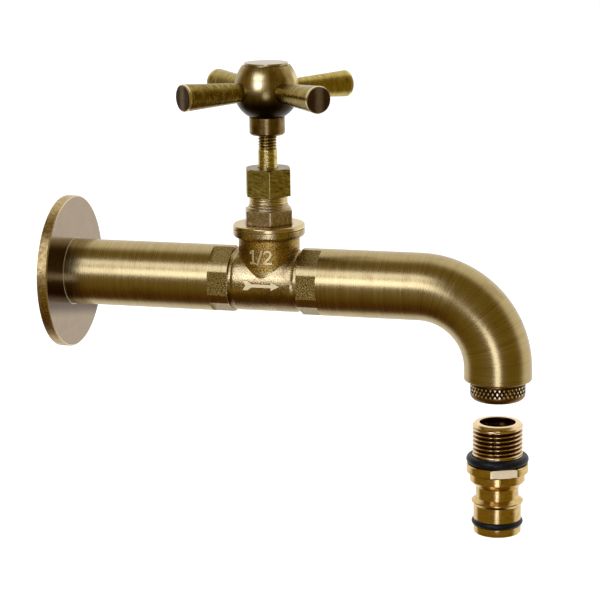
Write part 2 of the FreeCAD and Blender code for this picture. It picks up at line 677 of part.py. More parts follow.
def make_body_inside():
    """Socket and inlet, lower chamber, seat port, upper chamber with outlet, bore of the neck."""
    socket = cylinder(
        "Socket",
        f"({PITCH_LINE} + slip_fit)",
        "socket_depth",
        (f"valve_x - {SPIGOT_END}", "0", "0"),
        "x",
    )
    inlet = cylinder(
        "InletWay",
        half("nipple_bore"),
        f"({SOCKET_FLOOR} - chamber_half_length)",
        (f"valve_x - {SOCKET_FLOOR}", "0", "0"),
        "x",
    )
    chamber_length = "(chamber_half_length + partition_reach)"
    lower_round = cylinder(
        "LowerRound",
        half("chamber_diameter"),
        chamber_length,
        ("valve_x - chamber_half_length", "0", "0"),
        "x",
    )
    lower_box = box(
        "LowerBox",
        (chamber_length, "chamber_diameter", half("chamber_diameter")),
        (
            "valve_x - chamber_half_length",
            f"-{half('chamber_diameter')}",
            f"-{half('chamber_diameter')} - {PARTITION_TOP}",
        ),
    )
    upper_round = cylinder(
        "UpperRound",
        half("chamber_diameter"),
        chamber_length,
        ("valve_x - partition_reach", "0", "0"),
        "x",
    )
    upper_box = box(
        "UpperBox",
        (chamber_length, "chamber_diameter", half("chamber_diameter")),
        ("valve_x - partition_reach", f"-{half('chamber_diameter')}", PARTITION_TOP),
    )
    outlet = cylinder(
        "OutletWay",
        half("chamber_diameter"),
        f"({SPIGOT_END} - chamber_half_length)",
        ("valve_x + chamber_half_length", "0", "0"),
        "x",
    )
    neck_bore = cylinder(
        "NeckBore",
        half("neck_bore"),
        f"(neck_height - {PARTITION_TOP})",
        ("valve_x", "0", PARTITION_TOP),
    )
    return fuse(
        "BodyInside",
        [
            socket,
            inlet,
            common("LowerChamber", [lower_round, lower_box]),
            common("UpperChamber", [upper_round, upper_box]),
            outlet,
            neck_bore,
        ],
    )


def make_valve_body():
    """Cast body: the outside less the waterways, then the raised seat with its port."""
    hollow = cut("BodyHollow", make_body_outside(), make_body_inside())
    seat = cylinder(
        "SeatRing",
        half("seat_diameter"),
        "(partition_thickness + seat_height)",
        ("valve_x", "0", f"-{PARTITION_TOP}"),
    )
    port = cylinder(
        "SeatPort",
        half("seat_port"),
        "(2 * partition_thickness + seat_height)",
        ("valve_x", "0", "-partition_thickness"),
    )
    body = cut("valve_body", fuse("BodySeated", [hollow, seat]), port)
    body.Label = "valve_body"
    return body


# ---------------------------------------------------------------- bonnet and gland
def make_bonnet():
    """Screwed cover of the body: rim, six cast sides, taper and threaded neck, bored in steps."""
    screw_bore = "(spindle_screw / 2 + running_fit)"
    stem_bore = "(spindle_diameter / 2 + running_fit)"
    spigot = "(neck_bore / 2 - slip_fit)"
    foot = f"({BONNET_RIM_FOOT} - bonnet_spigot_length)"
    rim = half("rim_diameter")
    turned = new_body("BonnetTurned", "valve_x")
    turn_outline(
        turned,
        [
            (screw_bore, foot),
            (spigot, foot),
            (spigot, BONNET_RIM_FOOT),
            (rim, BONNET_RIM_FOOT),
            (rim, f"({BONNET_RIM_TOP} - bonnet_rim_rounding)", "bonnet_rim_rounding", 1),
            (f"({rim} - bonnet_rim_rounding)", BONNET_RIM_TOP),
            (half("bonnet_taper_diameter"), BONNET_RIM_TOP),
            (half("bonnet_taper_diameter"), BONNET_HEX_TOP),
            (half("bonnet_neck_diameter"), BONNET_TAPER_TOP),
            (half("bonnet_neck_diameter"), BONNET_TOP),
            (half("packing_pocket_diameter"), BONNET_TOP),
            (half("packing_pocket_diameter"), POCKET_FLOOR),
            (stem_bore, POCKET_FLOOR),
            (stem_bore, BONNET_SHOULDER),
            (screw_bore, BONNET_SHOULDER),
        ],
    )
    sides = new_body("BonnetSides", "valve_x", BONNET_RIM_TOP, "hex_angle - 30")
    sketch = new_sketch(sides, "BonnetSidesOutline", "XY_Plane")
    draw_outline(sketch, hex_corners("bonnet_flats"))
    draw_circle(sketch, "0", "0", f"({half('bonnet_taper_diameter')} - bonnet_rim_rounding)")
    pad(sides, sketch, "bonnet_hex_height")
    corner_round = cylinder(
        "BonnetSidesRound",
        half("bonnet_hex_round"),
        "bonnet_hex_height",
        ("valve_x", "0", BONNET_RIM_TOP),
    )
    bonnet = fuse("bonnet", [turned, common("BonnetSix", [sides, corner_round])])
    bonnet.Label = "bonnet"
    return bonnet


def make_gland():
    """Washer between the rims, packing, pressing ring and the nut over them."""
    gasket = ring_piece(
        "bonnet_gasket",
        "(neck_bore / 2 + bonnet_gasket_inset)",
        "(rim_diameter / 2 - bonnet_gasket_inset)",
        "neck_height",
        BONNET_RIM_FOOT,
    )
    stem_bore = "(spindle_diameter / 2 + running_fit)"
    pocket = "(packing_pocket_diameter / 2 - slip_fit)"
    packing = ring_piece("gland_packing", stem_bore, pocket, POCKET_FLOOR, PACKING_TOP)
    follower = ring_piece("gland_follower", stem_bore, pocket, PACKING_TOP, FOLLOWER_TOP)
    return [gasket, packing, follower]


def make_gland_nut():
    """Six-sided nut with turned corners and a bevelled top, bored for the bonnet's neck."""
    turned = new_body("GlandNutTurned", "valve_x")
    neck = "(bonnet_neck_diameter / 2 + slip_fit)"
    outer = half("gland_nut_round")
    turn_outline(
        turned,
        [
            (neck, NUT_FOOT),
            (outer, NUT_FOOT),
            (outer, f"({NUT_TOP} - gland_nut_bevel_height)"),
            (f"({outer} - gland_nut_bevel)", NUT_TOP),
            (half("gland_nut_hole"), NUT_TOP),
            (half("gland_nut_hole"), FOLLOWER_TOP),
            (neck, FOLLOWER_TOP),
        ],
    )
    sides = new_body("GlandNutSides", "valve_x", NUT_FOOT, "hex_angle - 30")
    sketch = new_sketch(sides, "GlandNutSidesOutline", "XY_Plane")
    draw_outline(sketch, hex_corners("gland_nut_flats"))
    pad(sides, sketch, "gland_nut_height")
    nut = common("gland_nut", [turned, sides])
    nut.Label = "gland_nut"
    return nut


# ---------------------------------------------------------------- moving valve
def make_jumper():
    """Valve plate with a stem above and a screwed stud below."""
    body = new_body("jumper", "valve_x")
    stud_foot = f"({SEAT_TOP} - washer_nut_height - plate_screw_end)"
    turn_outline(
        body,
        [
            ("0", stud_foot),
            (half("plate_screw"), stud_foot),
            (half("plate_screw"), PLATE_FOOT),
            (half("plate_diameter"), PLATE_FOOT),
            (half("plate_diameter"), PLATE_TOP),
            (half("jumper_stem"), PLATE_TOP),
            (half("jumper_stem"), f"({PLATE_TOP} + jumper_stem_length)"),
            ("0", f"({PLATE_TOP} + jumper_stem_length)"),
        ],
    )
    return body


def make_seat_washer():
    """Rubber washer that shuts the port."""
    stud_hole = "(plate_screw / 2 + slip_fit)"
    return ring_piece("seat_washer", stud_hole, half("seat_washer_diameter"), SEAT_TOP, PLATE_FOOT)


def make_hex_nut(label, flats, height, hole, foot):
    """Plain six-sided nut on the valve line."""
    body = new_body(label, "valve_x", foot)
    sketch = new_sketch(body, f"{label}_outline", "XY_Plane")
    draw_outline(sketch, hex_corners(flats))
    draw_circle(sketch, "0", "0", hole)
    pad(body, sketch, height)
    return body


def make_spindle():
    """Foot with a blind hole for the jumper's stem, screw, plain stem and threaded top."""
    body = new_body("spindle", "valve_x")
    stem_hole = "(jumper_stem / 2 + running_fit)"
    hole_top = f"({SPINDLE_FOOT} + jumper_stem_length + stem_hole_spare)"
    stem = half("spindle_diameter")
    top = f"({RECESS_FLOOR} + handle_nut_height - spindle_bevel)"
    turn_outline(
        body,
        [
            (stem_hole, SPINDLE_FOOT),
            (half("spindle_nose"), SPINDLE_FOOT),
            (half("spindle_nose"), SCREW_FOOT),
            (half("spindle_screw"), SCREW_FOOT),
            (half("spindle_screw"), SCREW_TOP),
            (stem, SCREW_TOP),
            (stem, f"({top} - spindle_bevel)"),
            (f"({stem} - spindle_bevel)", top),
            ("0", top),
            ("0", hole_top),
            (stem_hole, hole_top),
        ],
    )
    return body


# ---------------------------------------------------------------- cross handle
def make_handle_hub():
    """Ball on a boss, bored for the spindle, recessed for its nut, with a seat for each arm."""
    body = new_body("handle_hub", "valve_x", "0", "handle_angle")
    bore = "(spindle_diameter / 2 + slip_fit)"
    ball = half("ball_diameter")
    waist = "(boss_diameter / 2 - boss_waist)"
    flat = half("ball_flat")
    lower_arc = f"((({ball} - {waist})^2 + ball_lower^2) / (2 * ({ball} - {waist})))"
    upper_arc = f"((({ball} - {flat})^2 + ball_upper^2) / (2 * ({ball} - {flat})))"
    turn_outline(
        body,
        [
            (bore, BOSS_FOOT),
            ("(boss_diameter / 2 - boss_bevel)", BOSS_FOOT),
            (half("boss_diameter"), f"({BOSS_FOOT} + boss_bevel)"),
            (half("boss_diameter"), BOSS_TOP),
            (waist, BOSS_TOP, lower_arc, 1),
            (ball, BALL_MIDDLE, upper_arc, 1),
            (flat, BALL_TOP),
            (half("nut_recess_diameter"), BALL_TOP),
            (half("nut_recess_diameter"), RECESS_FLOOR),
            (bore, RECESS_FLOOR),
        ],
    )
    seat_sketch = new_sketch(body, "ArmSeatOutline", "YZ_Plane", "arm_seat")
    draw_circle(seat_sketch, "0", BALL_MIDDLE, "(arm_root / 2 + slip_fit)")
    hole_sketch = new_sketch(body, "ArmHoleOutline", "YZ_Plane", "arm_seat - tenon_length - slip_fit")
    draw_circle(hole_sketch, "0", BALL_MIDDLE, "(tenon_diameter / 2 + slip_fit)")
    doc.recompute()
    cuts = []
    for name, sketch in (("ArmSeat", seat_sketch), ("ArmHole", hole_sketch)):
        pocket = body.newObject("PartDesign::Pocket", name)
        pocket.Profile = sketch
        pocket.Length = number("ball_diameter / 2")
        pocket.setExpression("Length", bound("ball_diameter / 2"))
        pocket.Reversed = True
        sketch.Visibility = False
        cuts.append(pocket)
    pattern = body.newObject("PartDesign::PolarPattern", "ArmSeats")
    pattern.Originals = cuts
    pattern.Axis = (plane_of(body, "Z_Axis"), [""])
    pattern.Angle = 360
    pattern.setExpression("Occurrences", bound("arm_count"))
    body.Tip = pattern
    return body


def make_handle_arms():
    """Tapered arms with a rounded end edge, each on a screwed stud in the ball."""
    arms = []
    end = half("arm_end")
    for index in range(int(number("arm_count"))):
        turn = f"handle_angle + {index} * 360 / arm_count"
        arm = new_body(f"handle_arm_{index + 1}", "valve_x", BALL_MIDDLE, turn)
        turn_outline(
            arm,
            [
                ("(arm_seat - tenon_length)", "0"),
                ("arm_reach", "0"),
                ("arm_reach", f"({end} - arm_rounding)", "arm_rounding", 1),
                ("(arm_reach - arm_rounding)", end),
                ("arm_seat", half("arm_root")),
                ("arm_seat", half("tenon_diameter")),
                ("(arm_seat - tenon_length)", half("tenon_diameter")),
            ],
            "H_Axis",
        )
        arms.append(arm)
    return arms


def make_handle_cap():
    """Slightly domed disc whose plug closes the recess over the nut."""
    body = new_body("handle_cap", "valve_x")
    plug = "(nut_recess_diameter / 2 - slip_fit)"
    rim = half("cap_diameter")
    disc_foot = f"({BALL_TOP} + cap_gap)"
    disc_edge = f"({disc_foot} + cap_thickness)"
    crown = f"(({rim}^2 + cap_crown^2) / (2 * cap_crown))"
    turn_outline(
        body,
        [
            ("0", f"({BALL_TOP} - cap_plug)"),
            (plug, f"({BALL_TOP} - cap_plug)"),
            (plug, disc_foot),
            (rim, disc_foot),
            (rim, disc_edge, crown, 1),
            ("0", f"({disc_edge} + cap_crown)"),
        ],
    )
    return body


# ---------------------------------------------------------------- spout
def make_spout():
    """Tube with a quarter bend, swept along its centre line; its mouth has a rounded edge."""
    body = new_body("spout", "valve_x")
    path = new_sketch(body, "SpoutPath")
    start, run = number("collar_outer"), number("spout_run")
    bend, drop = number("bend_radius"), number("spout_drop")
    straight = Part.LineSegment(FreeCAD.Vector(start, 0, 0), FreeCAD.Vector(run, 0, 0))
    centre = FreeCAD.Vector(run, -bend, 0)
    quarter = Part.ArcOfCircle(Part.Circle(centre, FreeCAD.Vector(0, 0, 1), bend), 0, math.pi / 2)
    down = Part.LineSegment(FreeCAD.Vector(run + bend, -bend, 0), FreeCAD.Vector(run + bend, -drop, 0))
    path.addGeometry([straight, quarter, down], False)
    path.addConstraint(
        [
            Sketcher.Constraint("PointOnObject", 0, 1, -1),
            Sketcher.Constraint("PointOnObject", 0, 2, -1),
            Sketcher.Constraint("Coincident", 0, 2, 1, 2),
            Sketcher.Constraint("Coincident", 1, 1, 2, 1),
            Sketcher.Constraint("Vertical", 2),
            Sketcher.Constraint("Vertical", 1, 3, 0, 2),
            Sketcher.Constraint("Horizontal", 1, 3, 2, 1),
        ]
    )
    for kind, parts, text in (
        ("DistanceX", (-1, 1, 0, 1), "collar_outer"),
        ("DistanceX", (-1, 1, 0, 2), "spout_run"),
        ("Radius", (1,), "bend_radius"),
        ("DistanceY", (-1, 1, 2, 2), "(-spout_drop)"),
    ):
        index = path.addConstraint(Sketcher.Constraint(kind, *parts, number(text)))
        path.setExpression(f"Constraints[{index}]", bound(text))
    section = new_sketch(body, "SpoutSection", "YZ_Plane", "collar_outer")
    draw_circle(section, "0", "0", half("tube_diameter"))
    draw_circle(section, "0", "0", BORE)
    doc.recompute()
    swept = body.newObject("PartDesign::AdditivePipe", "SpoutTube")
    swept.Profile = section
    swept.Spine = (path, ["Edge1", "Edge2", "Edge3"])
    swept.Mode = "Standard"
    doc.recompute()
    mouth_edges = []
    for index, edge in enumerate(swept.Shape.Edges, start=1):
        low = abs(edge.BoundBox.ZMin + drop) < 1e-3 and abs(edge.BoundBox.ZMax + drop) < 1e-3
        if low and edge.BoundBox.XLength > number("tube_diameter") - 1e-3:
            mouth_edges.append(f"Edge{index}")
    rounded = body.newObject("PartDesign::Fillet", "MouthEdge")
    rounded.Base = (swept, mouth_edges)
    rounded.Radius = number("mouth_rounding")
    rounded.setExpression("Radius", bound("mouth_rounding"))
    return body


# ---------------------------------------------------------------- outlet bush and strainer
def make_outlet_bush():
    """Threaded bush brazed inside the mouth, with a ledge that the washer seats on.

    Above the straight end of the spout its outside is relieved, to clear the start of the bend.
    """
    body = new_body("outlet_bush", MOUTH_X, "-spout_drop")
    outer = f"({BORE} - slip_fit)"
    thread = f"({PITCH_LINE} + running_fit)"
    ledge = "(bush_inset + bush_height - bush_ledge)"
    top = "(bush_inset + bush_height)"
    bend_start = "(spout_drop - bend_radius)"
    into_bend = f"({top} - {bend_start})"
    relief = f"(bend_radius - sqrt(bend_radius^2 - {into_bend}^2) + slip_fit * 2)"
    turn_outline(
        body,
        [
            (thread, "bush_inset"),
            (outer, "bush_inset"),
            (outer, bend_start),
            (f"({outer} - {relief})", bend_start),
            (f"({outer} - {relief})", top),
            (half("strainer_bore"), top),
            (half("strainer_bore"), ledge),
            (thread, ledge),
        ],
    )
    return body


def make_strainer_seal():
    """Rubber washer between the strainer and the ledge of the bush."""
    return ring_piece(
        "strainer_seal",
        half("strainer_bore"),
        f"({PITCH_LINE} - slip_fit)",
        STRAINER_TOP,
        f"({STRAINER_TOP} + strainer_seal_thickness)",
        MOUTH_X,
        "-spout_drop",
    )


def make_strainer_housing():
    """Threaded sleeve with a knurled ring; slanting cuts both ways make the diamonds."""
    turned = new_body("StrainerTurned", MOUTH_X, "-spout_drop")
    knurl = half("knurl_diameter")
    bore = "(strainer_bore / 2)"
    mouth = half("strainer_mouth")
    land = f"({mouth} + strainer_mouth_land)"
    foot_radius = f"(({knurl} - {land})^2 + strainer_foot^2) / (2 * strainer_foot)"
    turn_outline(
        turned,
        [
            (bore, STRAINER_TOP),
            (bore, f"(-({STRAINER_FOOT} - strainer_lip))"),
            (mouth, f"(-({STRAINER_FOOT} - strainer_lip))"),
            (mouth, f"(-{STRAINER_FOOT})"),
            (land, f"(-{STRAINER_FOOT})", foot_radius, 1),
            (knurl, f"(-{KNURL_FOOT})"),
            (knurl, "(-strainer_neck)"),
            (PITCH_LINE, "(-strainer_neck)"),
            (PITCH_LINE, STRAINER_TOP),
        ],
    )
    doc.recompute()
    count = int(number("knurl_count"))
    radius, depth, height = number(knurl), number("knurl_depth"), number("knurl_height")
    slant, middle = number("knurl_angle"), number(f"(-strainer_neck - {half('knurl_height')})")
    cut_share = 0.46  # width of a cut at the surface, as a share of the spacing
    half_width = math.pi * radius / count * cut_share
    reach = height / 2 / math.cos(math.radians(slant)) + depth
    band_foot = FreeCAD.Vector(0, 0, middle - height / 2)
    band = Part.makeCylinder(radius + depth, height, band_foot)
    band = band.cut(Part.makeCylinder(radius - 2 * depth, height, band_foot))
    cuts = []
    for sign in (-1, 1):
        notch = Part.makePolygon(
            [
                FreeCAD.Vector(radius - depth, 0, -reach),
                FreeCAD.Vector(radius + depth, -2 * half_width, -reach),
                FreeCAD.Vector(radius + depth, 2 * half_width, -reach),
                FreeCAD.Vector(radius - depth, 0, -reach),
            ]
        )
        bar = Part.Face(notch).extrude(FreeCAD.Vector(0, 0, 2 * reach))
        bar.rotate(FreeCAD.Vector(), FreeCAD.Vector(1, 0, 0), sign * slant)
        slot = bar.translated(FreeCAD.Vector(0, 0, middle)).common(band)
        for index in range(count):
            copy = slot.copy()
            copy.rotate(FreeCAD.Vector(), FreeCAD.Vector(0, 0, 1), 360 * index / count)
            copy.translate(FreeCAD.Vector(number(MOUTH_X), 0, number("-spout_drop")))
            cuts.append(copy)
    housing = doc.addObject("Part::Feature", "strainer_housing")
    housing.Label = "strainer_housing"
    housing.Shape = turned.Shape.cut(cuts)
    return housing


def make_strainer_cartridge():
    """Inner sleeve with a perforated roof that mixes air into the water."""
    body = new_body("strainer_cartridge", MOUTH_X, "-spout_drop")
    outer = "(strainer_bore / 2 - slip_fit)"
    inner = f"({outer} - cartridge_wall)"
    foot = f"(-({STRAINER_FOOT} - strainer_lip - screen_thickness))"
    roof = f"({STRAINER_TOP} - cartridge_roof)"
    turn_outline(
        body,
        [
            (inner, foot),
            (outer, foot),
            (outer, STRAINER_TOP),
            ("0", STRAINER_TOP),
            ("0", roof),
            (inner, roof),
        ],
    )
    sketch = new_sketch(body, "RoofHoleOutline", "XY_Plane", STRAINER_TOP)
    draw_circle(sketch, half("cartridge_hole_circle"), "0", half("cartridge_hole_diameter"))
    doc.recompute()
    hole = body.newObject("PartDesign::Pocket", "RoofHole")
    hole.Profile = sketch
    hole.Length = number("cartridge_roof + slip_fit")
    hole.setExpression("Length", bound("cartridge_roof + slip_fit"))
    sketch.Visibility = False
    pattern = body.newObject("PartDesign::PolarPattern", "RoofHoles")
    pattern.Originals = [hole]
    pattern.Axis = (plane_of(body, "Z_Axis"), [""])
    pattern.Angle = 360
    pattern.setExpression("Occurrences", bound("cartridge_holes"))
    body.Tip = pattern
    return body


def make_strainer_screen():
    """Perforated disc on the lip of the housing: holes on a six-way grid."""
    radius = number("strainer_bore / 2 - slip_fit")
    thickness, pitch, hole = number("screen_thickness"), number("screen_pitch"), number("screen_hole / 2")
    foot = number(f"-({STRAINER_FOOT} - strainer_lip)")
    centre = FreeCAD.Vector(number(MOUTH_X), 0, number("-spout_drop") + foot)
    rings = int(number("strainer_mouth / 2 - screen_hole") // pitch)
    holes = []
    for row in range(-rings, rings + 1):
        for column in range(-rings, rings + 1):
            across = (column + row / 2) * pitch
            along = row * pitch * math.sqrt(3) / 2
            if math.hypot(across, along) < number("strainer_mouth / 2 - screen_hole / 2"):
                holes.append(
                    Part.makeCylinder(hole, thickness, centre + FreeCAD.Vector(across, along, 0))
                )
    screen = doc.addObject("Part::Feature", "strainer_screen")
    screen.Label = "strainer_screen"
    screen.Shape = Part.makeCylinder(radius, thickness, centre).cut(holes)
    return screen


# ---------------------------------------------------------------- hose adaptor
def make_hose_adaptor():
    """Turned adaptor, seen taken off: thread, seal seat, collar with two flats, nose."""
    turned = new_body("AdaptorTurned", MOUTH_X, "-adaptor_drop")
    turns = int(number("adaptor_thread_turns"))
    thread_end = f"(adaptor_lead + {turns} * pipe_thread_pitch)"
    collar_top = f"({thread_end} + adaptor_seat_height)"
    collar_foot = f"({collar_top} + adaptor_collar_height)"
    step_foot = f"({collar_foot} + adaptor_step_height)"
    cone_foot = f"({step_foot} + adaptor_cone_height)"
    groove_foot = f"({cone_foot} + catch_groove_height)"
    lip_foot = f"({groove_foot} + catch_lip_height)"
    nose_foot = f"({lip_foot} + nose_length)"
    ring_height = f"({lip_foot} + nose_ring_offset)"
    ring_groove = "(nose_ring_diameter / 2 - nose_ring_section - slip_fit)"
    ring_half = f"({half('nose_ring_section')} + slip_fit)"
    collar, step = half("adaptor_collar"), half("adaptor_step")
    lip, nose = half("catch_lip"), half("nose_diameter")
    lip_start = f"({groove_foot} + catch_lip_height * 0.45)"
    lip_end = f"({groove_foot} + catch_lip_height * 0.6)"
    corners = [
        (half("adaptor_mouth_bore"), "0"),
        (f"({THREAD_RADIUS} - adaptor_lead)", "0"),
        (f"({THREAD_RADIUS} - adaptor_bevel)", "(-adaptor_lead * 0.7)"),
        (THREAD_ROOT, "(-adaptor_lead)"),
    ]
    corners += [(radius, along) for along, radius in thread_corners("(-adaptor_lead)", turns, "-")]
    corners += [
        (THREAD_ROOT, f"(-{thread_end})"),
        (half("adaptor_seat_diameter"), f"(-{thread_end} - adaptor_bevel)"),
        (half("adaptor_seat_diameter"), f"(-{collar_top})"),
        (f"({collar} - adaptor_bevel)", f"(-{collar_top})"),
        (collar, f"(-{collar_top} - adaptor_bevel)"),
        (collar, f"(-{collar_foot} + adaptor_bevel)"),
        (step, f"(-{collar_foot} - adaptor_bevel)"),
        (step, f"(-{step_foot})"),
        (half("catch_groove"), f"(-{cone_foot})"),
        (half("catch_groove"), f"(-{groove_foot})"),
        (lip, f"(-{lip_start})"),
        (lip, f"(-{lip_end})"),
        (nose, f"(-{lip_foot})"),
        (nose, f"(-{ring_height} + {ring_half})"),
        (ring_groove, f"(-{ring_height} + {ring_half})"),
        (ring_groove, f"(-{ring_height} - {ring_half})"),
        (nose, f"(-{ring_height} - {ring_half})"),
        (nose, f"(-{nose_foot} + nose_rounding)", "nose_rounding", -1),
        (f"({nose} - nose_rounding)", f"(-{nose_foot})"),
        (half("adaptor_bore"), f"(-{nose_foot})"),
        (half("adaptor_bore"), "(-adaptor_mouth_depth)"),
        (half("adaptor_mouth_bore"), "(-adaptor_mouth_depth)"),
    ]
    turn_outline(turned, corners)

    flats_foot = f"-adaptor_drop - {collar_foot} - adaptor_bevel"
    flats = new_body("AdaptorFlats", MOUTH_X, flats_foot, "adaptor_flats_angle")
    sketch = new_sketch(flats, "AdaptorFlatsOutline", "XY_Plane")
    for sign in ("", "-"):
        near, far = f"({sign}{half('adaptor_flats')})", f"({sign}adaptor_collar)"
        left, right = "(-adaptor_collar)", "adaptor_collar"
        draw_outline(sketch, [(left, near), (right, near), (right, far), (left, far)])
    pad(flats, sketch, "(adaptor_collar_height + 2 * adaptor_bevel)")
    adaptor = cut("hose_adaptor", turned, flats)
    adaptor.Label = "hose_adaptor"
    return adaptor


def make_o_ring(label, outside, section, height):
    """Rubber ring of round section on the mouth line, its middle at a height."""
    ring = doc.addObject("Part::Torus", label)
    ring.Label = label
    ring.setExpression("Radius1", bound(f"({outside} - {section}) / 2"))
    ring.setExpression("Radius2", bound(f"{section} / 2"))
    ring.setExpression("Placement.Base.x", bound(MOUTH_X))
    ring.setExpression("Placement.Base.z", bound(height))
    return ring


def make_adaptor_rings():
    """Seal ring in the groove under the thread, and the ring in the groove of the nose."""
    thread_end = "adaptor_lead + adaptor_thread_turns * pipe_thread_pitch"
    seal_height = f"-(adaptor_drop + {thread_end} + adaptor_seat_height - seal_ring_section / 2)"
    to_lip_foot = (
        f"{thread_end} + adaptor_seat_height + adaptor_collar_height + adaptor_step_height"
        " + adaptor_cone_height + catch_groove_height + catch_lip_height"
    )
    nose_height = f"-(adaptor_drop + {to_lip_foot} + nose_ring_offset)"
    return [
        make_o_ring("adaptor_seal_ring", "seal_ring_diameter", "seal_ring_section", seal_height),
        make_o_ring("adaptor_nose_ring", "nose_ring_diameter", "nose_ring_section", nose_height),
    ]


# ---------------------------------------------------------------- the whole tap
pieces = [make_wall_flange(), make_inlet_nipple(), *make_inlet_rings(), make_inlet_tube()]
pieces += [make_valve_body(), make_bonnet(), *make_gland(), make_gland_nut()]
pieces += [make_jumper(), make_seat_washer()]
pieces.append(
    make_hex_nut(
        "washer_nut",
        "washer_nut_flats",
        "washer_nut_height",
        "(plate_screw / 2 + slip_fit)",
        f"({SEAT_TOP} - washer_nut_height)",
    )
)
pieces += [make_spindle(), make_handle_hub(), *make_handle_arms()]
pieces.append(
    make_hex_nut(
        "handle_nut",
        "handle_nut_flats",
        "handle_nut_height",
        "(spindle_diameter / 2 + slip_fit)",
        RECESS_FLOOR,
    )
)
pieces += [make_handle_cap(), make_spout(), make_outlet_bush(), make_strainer_seal()]
pieces += [make_strainer_housing(), make_strainer_cartridge(), make_strainer_screen()]
pieces += [make_hose_adaptor(), *make_adaptor_rings()]
doc.recompute()

failed = [thing.Name for thing in doc.Objects if "Invalid" in thing.State or "Error" in thing.State]
for piece in pieces:
    if piece.Shape.isNull() or not piece.Shape.isValid() or not piece.Shape.Solids:
        failed.append(piece.Label)
if failed:
    raise RuntimeError("not built: " + ", ".join(failed))

for piece in pieces:
    piece.Shape.exportStep(f"parts/{piece.Label}.step")
    print(f"{piece.Label}: {len(piece.Shape.Solids)} solid, {piece.Shape.Volume:.1f} mm3")
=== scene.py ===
"""Looks of a wall tap with a cross handle, in antique brushed brass, with its loose hose adaptor.

Metres, in the frame of the part: the pipe runs along +X out of the wall at x = 0, +Z is up.
Places inside the materials are in millimetres on the piece at rest.
"""

import math

import bpy
from mathutils import Matrix, Vector


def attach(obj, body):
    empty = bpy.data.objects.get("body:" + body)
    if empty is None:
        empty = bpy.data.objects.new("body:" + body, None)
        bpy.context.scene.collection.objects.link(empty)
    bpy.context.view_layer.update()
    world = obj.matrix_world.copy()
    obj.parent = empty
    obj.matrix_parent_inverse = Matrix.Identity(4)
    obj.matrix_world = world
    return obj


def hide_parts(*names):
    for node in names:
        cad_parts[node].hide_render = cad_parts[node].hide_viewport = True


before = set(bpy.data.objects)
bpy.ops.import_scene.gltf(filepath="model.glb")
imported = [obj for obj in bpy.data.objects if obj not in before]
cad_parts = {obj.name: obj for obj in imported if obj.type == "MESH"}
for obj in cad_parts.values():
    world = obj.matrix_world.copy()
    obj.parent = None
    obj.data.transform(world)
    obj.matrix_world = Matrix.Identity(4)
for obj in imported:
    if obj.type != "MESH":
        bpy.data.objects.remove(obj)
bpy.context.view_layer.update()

# ---------------------------------------------------------------- camera
# A long lens nearly in front of the tap, a little to its outlet side and a little above it,
# with the slight roll of a camera held by hand.
AROUND = math.radians(16.124)
ABOVE = math.radians(12.66)
ROLL = math.radians(-0.85)
LOOKED_AT = Vector((0.10489, 0.0, -0.00818))
CAMERA_DISTANCE = 0.8942
CAMERA_LENS = 127.97
FILM_WIDTH = 36.0

level_right = Vector((math.cos(AROUND), math.sin(AROUND), 0.0))
backwards = Vector(
    (
        math.sin(AROUND) * math.cos(ABOVE),
        -math.cos(AROUND) * math.cos(ABOVE),
        math.sin(ABOVE),
    )
)
level_up = backwards.cross(level_right)
right = level_right * math.cos(ROLL) + level_up * math.sin(ROLL)
up = level_up * math.cos(ROLL) - level_right * math.sin(ROLL)
camera = bpy.data.objects.new("camera", bpy.data.cameras.new("camera"))
camera.data.lens = CAMERA_LENS
camera.data.sensor_width = FILM_WIDTH
camera.data.clip_start = 0.05
camera.matrix_world = Matrix.Translation(LOOKED_AT + backwards * CAMERA_DISTANCE) @ (
    Matrix((right, up, backwards)).transposed().to_4x4()
)
bpy.context.scene.collection.objects.link(camera)
bpy.context.scene.camera = camera
bpy.context.scene.view_settings.view_transform = "Standard"


